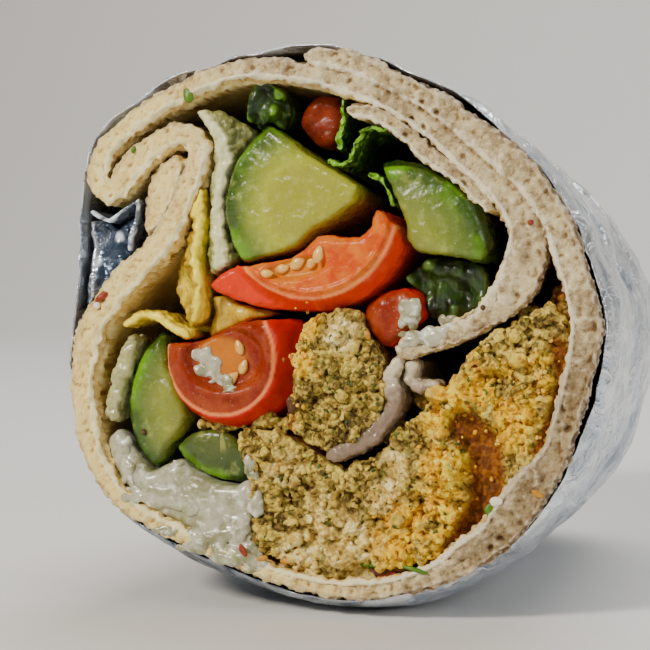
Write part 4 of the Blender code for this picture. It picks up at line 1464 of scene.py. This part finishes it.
class WRAP_OT_bits(Operator):
    """Make the chopped herbs, loose crumbs, scraps and dark crust on the cut"""

    bl_idname = "wrap.bits"
    bl_label = "Bits"

    def execute(self, context):
        sizes = context.scene.wrap_bits
        self.herbs(sizes.herbs)
        self.crumbs(sizes.crumbs)
        self.scraps()
        self.crust()
        return {"FINISHED"}

    def scraps(self):
        """Single scraps of herb, pepper, crust and bread that lie on the cut."""
        finish = Finish("scrap", specular_ior_level=0.4)
        kind = finish.read("kind") + finish.noise(0.8) * 0.08
        stops = (0.0, tint("2f5206")), (0.1, tint("6a9a1c")), (0.25, tint("6e1c08")), (0.36, tint("b8481c"))
        more = (0.5, tint("3a2008")), (0.62, tint("6e4210")), (0.75, tint("a86a14")), (0.85, tint("d8a43c"))
        finish.set("Base Color", finish.ramp(kind, *stops, *more, (1.0, tint("f0e8cc"))))
        finish.set("Roughness", finish.noise(1.0) * 0.5 + 0.15)
        chance = random.Random(6)
        bm = bmesh.new()
        layer = bm.verts.layers.float.new("kind")
        for x, z, wide, high, turn, kind in SCRAPS:
            point, normal = next(filter(None, (drop(x * near, z * near) for near in (1, 0.98, 0.96, 0.94, 0.9))))
            spin = Euler((0, math.radians(-turn), 0))
            placed = Matrix.LocRotScale(point + normal * 0.1 * MM, spin, Vector((wide, 0.35, high)) * MM)
            for vert in bmesh.ops.create_icosphere(bm, subdivisions=4, radius=1, matrix=placed)["verts"]:
                vert[layer] = kind
                vert.co += noise.noise_vector(vert.co / (0.9 * MM)) * (0.35 * min(wide, high) * MM)
        publish(bm, "scraps", finish, None)

    def herbs(self, count):
        finish = Finish("herb_fleck", roughness=0.55)
        shade = finish.noise(1.2)
        finish.set("Base Color", finish.ramp(shade, (0.35, tint("26340c")), (0.65, tint("56681c"))))
        chance = random.Random(21)
        bm = bmesh.new()
        boxes = [(-10, 28, -31, 0, "falafel_broken"), (-5, 7, -15, 1, "falafel_end")]
        made = 0
        while made < count:
            x0, x1, z0, z1, name = boxes[0] if chance.random() < 0.72 else boxes[1]
            x, z = chance.uniform(x0, x1), chance.uniform(z0, z1)
            point, normal, _, _ = fronts[name].ray_cast(from_section(x, z, -20), Vector((0, 1, 0)))
            if not point or to_section(point)[2] > 5:
                continue
            size = chance.uniform(0.15, 0.42)
            ball(bm, point - normal * 0.05 * MM, (size * 1.5, size * 0.4, size), chance)
            made += 1
        publish(bm, "herb_flecks", finish, "leaf")

    def crumbs(self, count):
        finish = Finish("loose_crumb", roughness=0.75)
        shade = finish.cell_number(0.8)
        finish.set("Base Color", finish.ramp(shade, (0.0, tint("9a5c10")), (0.6, tint("eeb01c")), (1.0, tint("f6d470"))))
        chance = random.Random(33)
        bm = bmesh.new()
        for _ in range(count):
            spot = chance.choice(FRIED_SPOTS)
            x, z = chance.gauss(spot[0], spot[2] * 0.5), chance.gauss(spot[1], spot[2] * 0.5)
            found = drop(x, z)
            size = chance.uniform(0.2, 0.5)
            if found and to_section(found[0])[2] < 5 and math.hypot(x, z) < 33:
                ball(bm, found[0], (size, size * 0.8, size * 0.7), chance)
        publish(bm, "loose_crumbs", finish, "falafel")

    def crust(self):
        finish = Finish("dark_crust", roughness=0.6)
        finish.set("Base Color", finish.ramp(finish.noise(1.0), (0.35, tint("2a0f08")), (0.7, tint("7a3a22"))))
        finish.bump(finish.noise(0.5), 0.3)
        bm = fine_front("crust_crumb", 0.15, 5)
        relief(bm, lambda v, x, z, d: 0.4 * rough(v.co, 1.2, 3) * ease(8, 3, d))
        publish(bm, "crust_crumb_dark", finish, "crust", "crust_crumb")


# ---------------------------------------------------------------- studio


class WrapStudio(PropertyGroup):
    floor: FloatVectorProperty(
        name="Floor", description="Colour of the floor and backdrop", subtype="COLOR", default=tint("e6e3de")
    )
    azimuth: FloatProperty(
        name="Azimuth", description="Camera's turn to the right of the cut face", subtype="ANGLE", default=math.radians(18)
    )
    elevation: FloatProperty(
        name="Elevation", description="Camera's height above the horizontal", subtype="ANGLE", default=math.radians(3.5)
    )
    distance: FloatProperty(
        name="Distance", description="Camera to the middle of the cut face", subtype="DISTANCE", default=0.27
    )
    view_width: FloatProperty(
        name="View", description="Width seen at the cut face", subtype="DISTANCE", default=84.5 * MM
    )


class WRAP_OT_studio(Operator):
    """Make the floor and backdrop, the lights and the camera"""

    bl_idname = "wrap.studio"
    bl_label = "Studio"

    def execute(self, context):
        sizes = context.scene.wrap_studio
        self.sweep(sizes)
        self.camera(context, sizes)
        world = bpy.data.worlds.new("studio_air")
        world.use_nodes = True
        world.node_tree.nodes["Background"].inputs["Color"].default_value = (0.88, 0.93, 1.0, 1)
        world.node_tree.nodes["Background"].inputs["Strength"].default_value = 0.2
        context.scene.world = world
        self.light("key", (-0.30, -0.62, 0.46), 0.14, 6.6, (1.0, 0.93, 0.82))
        self.light("side", (0.55, -0.25, 0.3), 0.3, 1.0, (0.92, 0.96, 1.0))
        self.light("top", (0.05, 0.3, 0.6), 0.5, 3.4, (1, 1, 1))
        return {"FINISHED"}

    def sweep(self, sizes):
        bm = bmesh.new()
        profile = [(-1.2, 0), (0.45, 0)]
        profile += [(0.45 + 0.25 * math.sin(a), 0.25 - 0.25 * math.cos(a)) for a in [math.pi / 2 * i / 12 for i in range(1, 13)]]
        profile.append((0.7, 1.2))
        rows = [bm.verts.new((-1.6, y, z)) for y, z in profile]
        edges = [bm.edges.new(pair) for pair in zip(rows, rows[1:])]
        grown = bmesh.ops.extrude_edge_only(bm, edges=edges)["geom"]
        bmesh.ops.translate(bm, vec=(3.2, 0, 0), verts=[g for g in grown if isinstance(g, bmesh.types.BMVert)])
        finish = Finish("studio_floor", roughness=0.7)
        shade = finish.noise(60, 2)
        finish.set("Base Color", finish.blend(shade, tuple(sizes.floor), tuple(c * 0.97 for c in sizes.floor)))
        mesh = bpy.data.meshes.new("studio_sweep")
        bm.to_mesh(mesh)
        bm.free()
        mesh.shade_smooth()
        mesh.materials.append(finish.material)
        floor = bpy.data.objects.new("studio_sweep", mesh)
        bpy.context.scene.collection.objects.link(floor)

    def camera(self, context, sizes):
        back = Vector(
            (
                math.sin(sizes.azimuth) * math.cos(sizes.elevation),
                -math.cos(sizes.azimuth) * math.cos(sizes.elevation),
                math.sin(sizes.elevation),
            )
        )
        middle = Vector((0, CUT_Y, AXIS_HEIGHT * MM))
        data = bpy.data.cameras.new("camera")
        data.lens = data.sensor_width * sizes.distance / sizes.view_width
        data.clip_start = 0.01
        camera = bpy.data.objects.new("camera", data)
        turn = back.to_track_quat("Z", "Y")
        right = turn @ Vector((1, 0, 0))
        camera.matrix_world = Matrix.LocRotScale(
            middle + back * sizes.distance - right * 0.9 * MM, turn, Vector((1, 1, 1))
        )
        context.scene.collection.objects.link(camera)
        context.scene.camera = camera

    def light(self, name, place, size, power, colour):
        data = bpy.data.lights.new(name, "AREA")
        data.size = size
        data.energy = power
        data.color = colour
        light = bpy.data.objects.new(name, data)
        towards = Vector((0, 0, 0.04)) - Vector(place)
        light.matrix_world = Matrix.LocRotScale(Vector(place), towards.to_track_quat("-Z", "Y"), Vector((1, 1, 1)))
        bpy.context.scene.collection.objects.link(light)


# ---------------------------------------------------------------- panel


STEPS = (
    (WRAP_OT_foil, WrapFoil, "wrap_foil"),
    (WRAP_OT_bread, WrapBread, "wrap_bread"),
    (WRAP_OT_falafel, WrapFalafel, "wrap_falafel"),
    (WRAP_OT_tomato, WrapTomato, "wrap_tomato"),
    (WRAP_OT_cucumber, WrapCucumber, "wrap_cucumber"),
    (WRAP_OT_greens, WrapGreens, "wrap_greens"),
    (WRAP_OT_onion, WrapOnion, "wrap_onion"),
    (WRAP_OT_sauce, WrapSauce, "wrap_sauce"),
    (WRAP_OT_bits, WrapBits, "wrap_bits"),
    (WRAP_OT_studio, WrapStudio, "wrap_studio"),
)


class WRAP_PT_sidebar(Panel):
    """Lists each group of pieces with its sizes and colours"""

    bl_label = "Falafel Wrap"
    bl_space_type = "VIEW_3D"
    bl_region_type = "UI"
    bl_category = "Wrap"

    def draw(self, context):
        for operator, _, group in STEPS:
            box = self.layout.box()
            box.operator(operator.bl_idname)
            sizes = getattr(context.scene, group)
            for key in sizes.__annotations__:
                box.prop(sizes, key)


def register():
    for operator, group, name in STEPS:
        bpy.utils.register_class(group)
        bpy.utils.register_class(operator)
        setattr(bpy.types.Scene, name, PointerProperty(type=group))
    bpy.utils.register_class(WRAP_PT_sidebar)


def unregister():
    bpy.utils.unregister_class(WRAP_PT_sidebar)
    for operator, group, name in reversed(STEPS):
        delattr(bpy.types.Scene, name)
        bpy.utils.unregister_class(operator)
        bpy.utils.unregister_class(group)


def main():
    register()
    bpy.ops.wrap.foil()
    bpy.ops.wrap.bread()
    bpy.ops.wrap.falafel()
    bpy.ops.wrap.tomato()
    bpy.ops.wrap.cucumber()
    bpy.ops.wrap.greens()
    bpy.ops.wrap.onion()
    bpy.ops.wrap.sauce()
    bpy.ops.wrap.bits()
    bpy.ops.wrap.studio()
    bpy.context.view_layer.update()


if __name__ == "__main__":
    main()
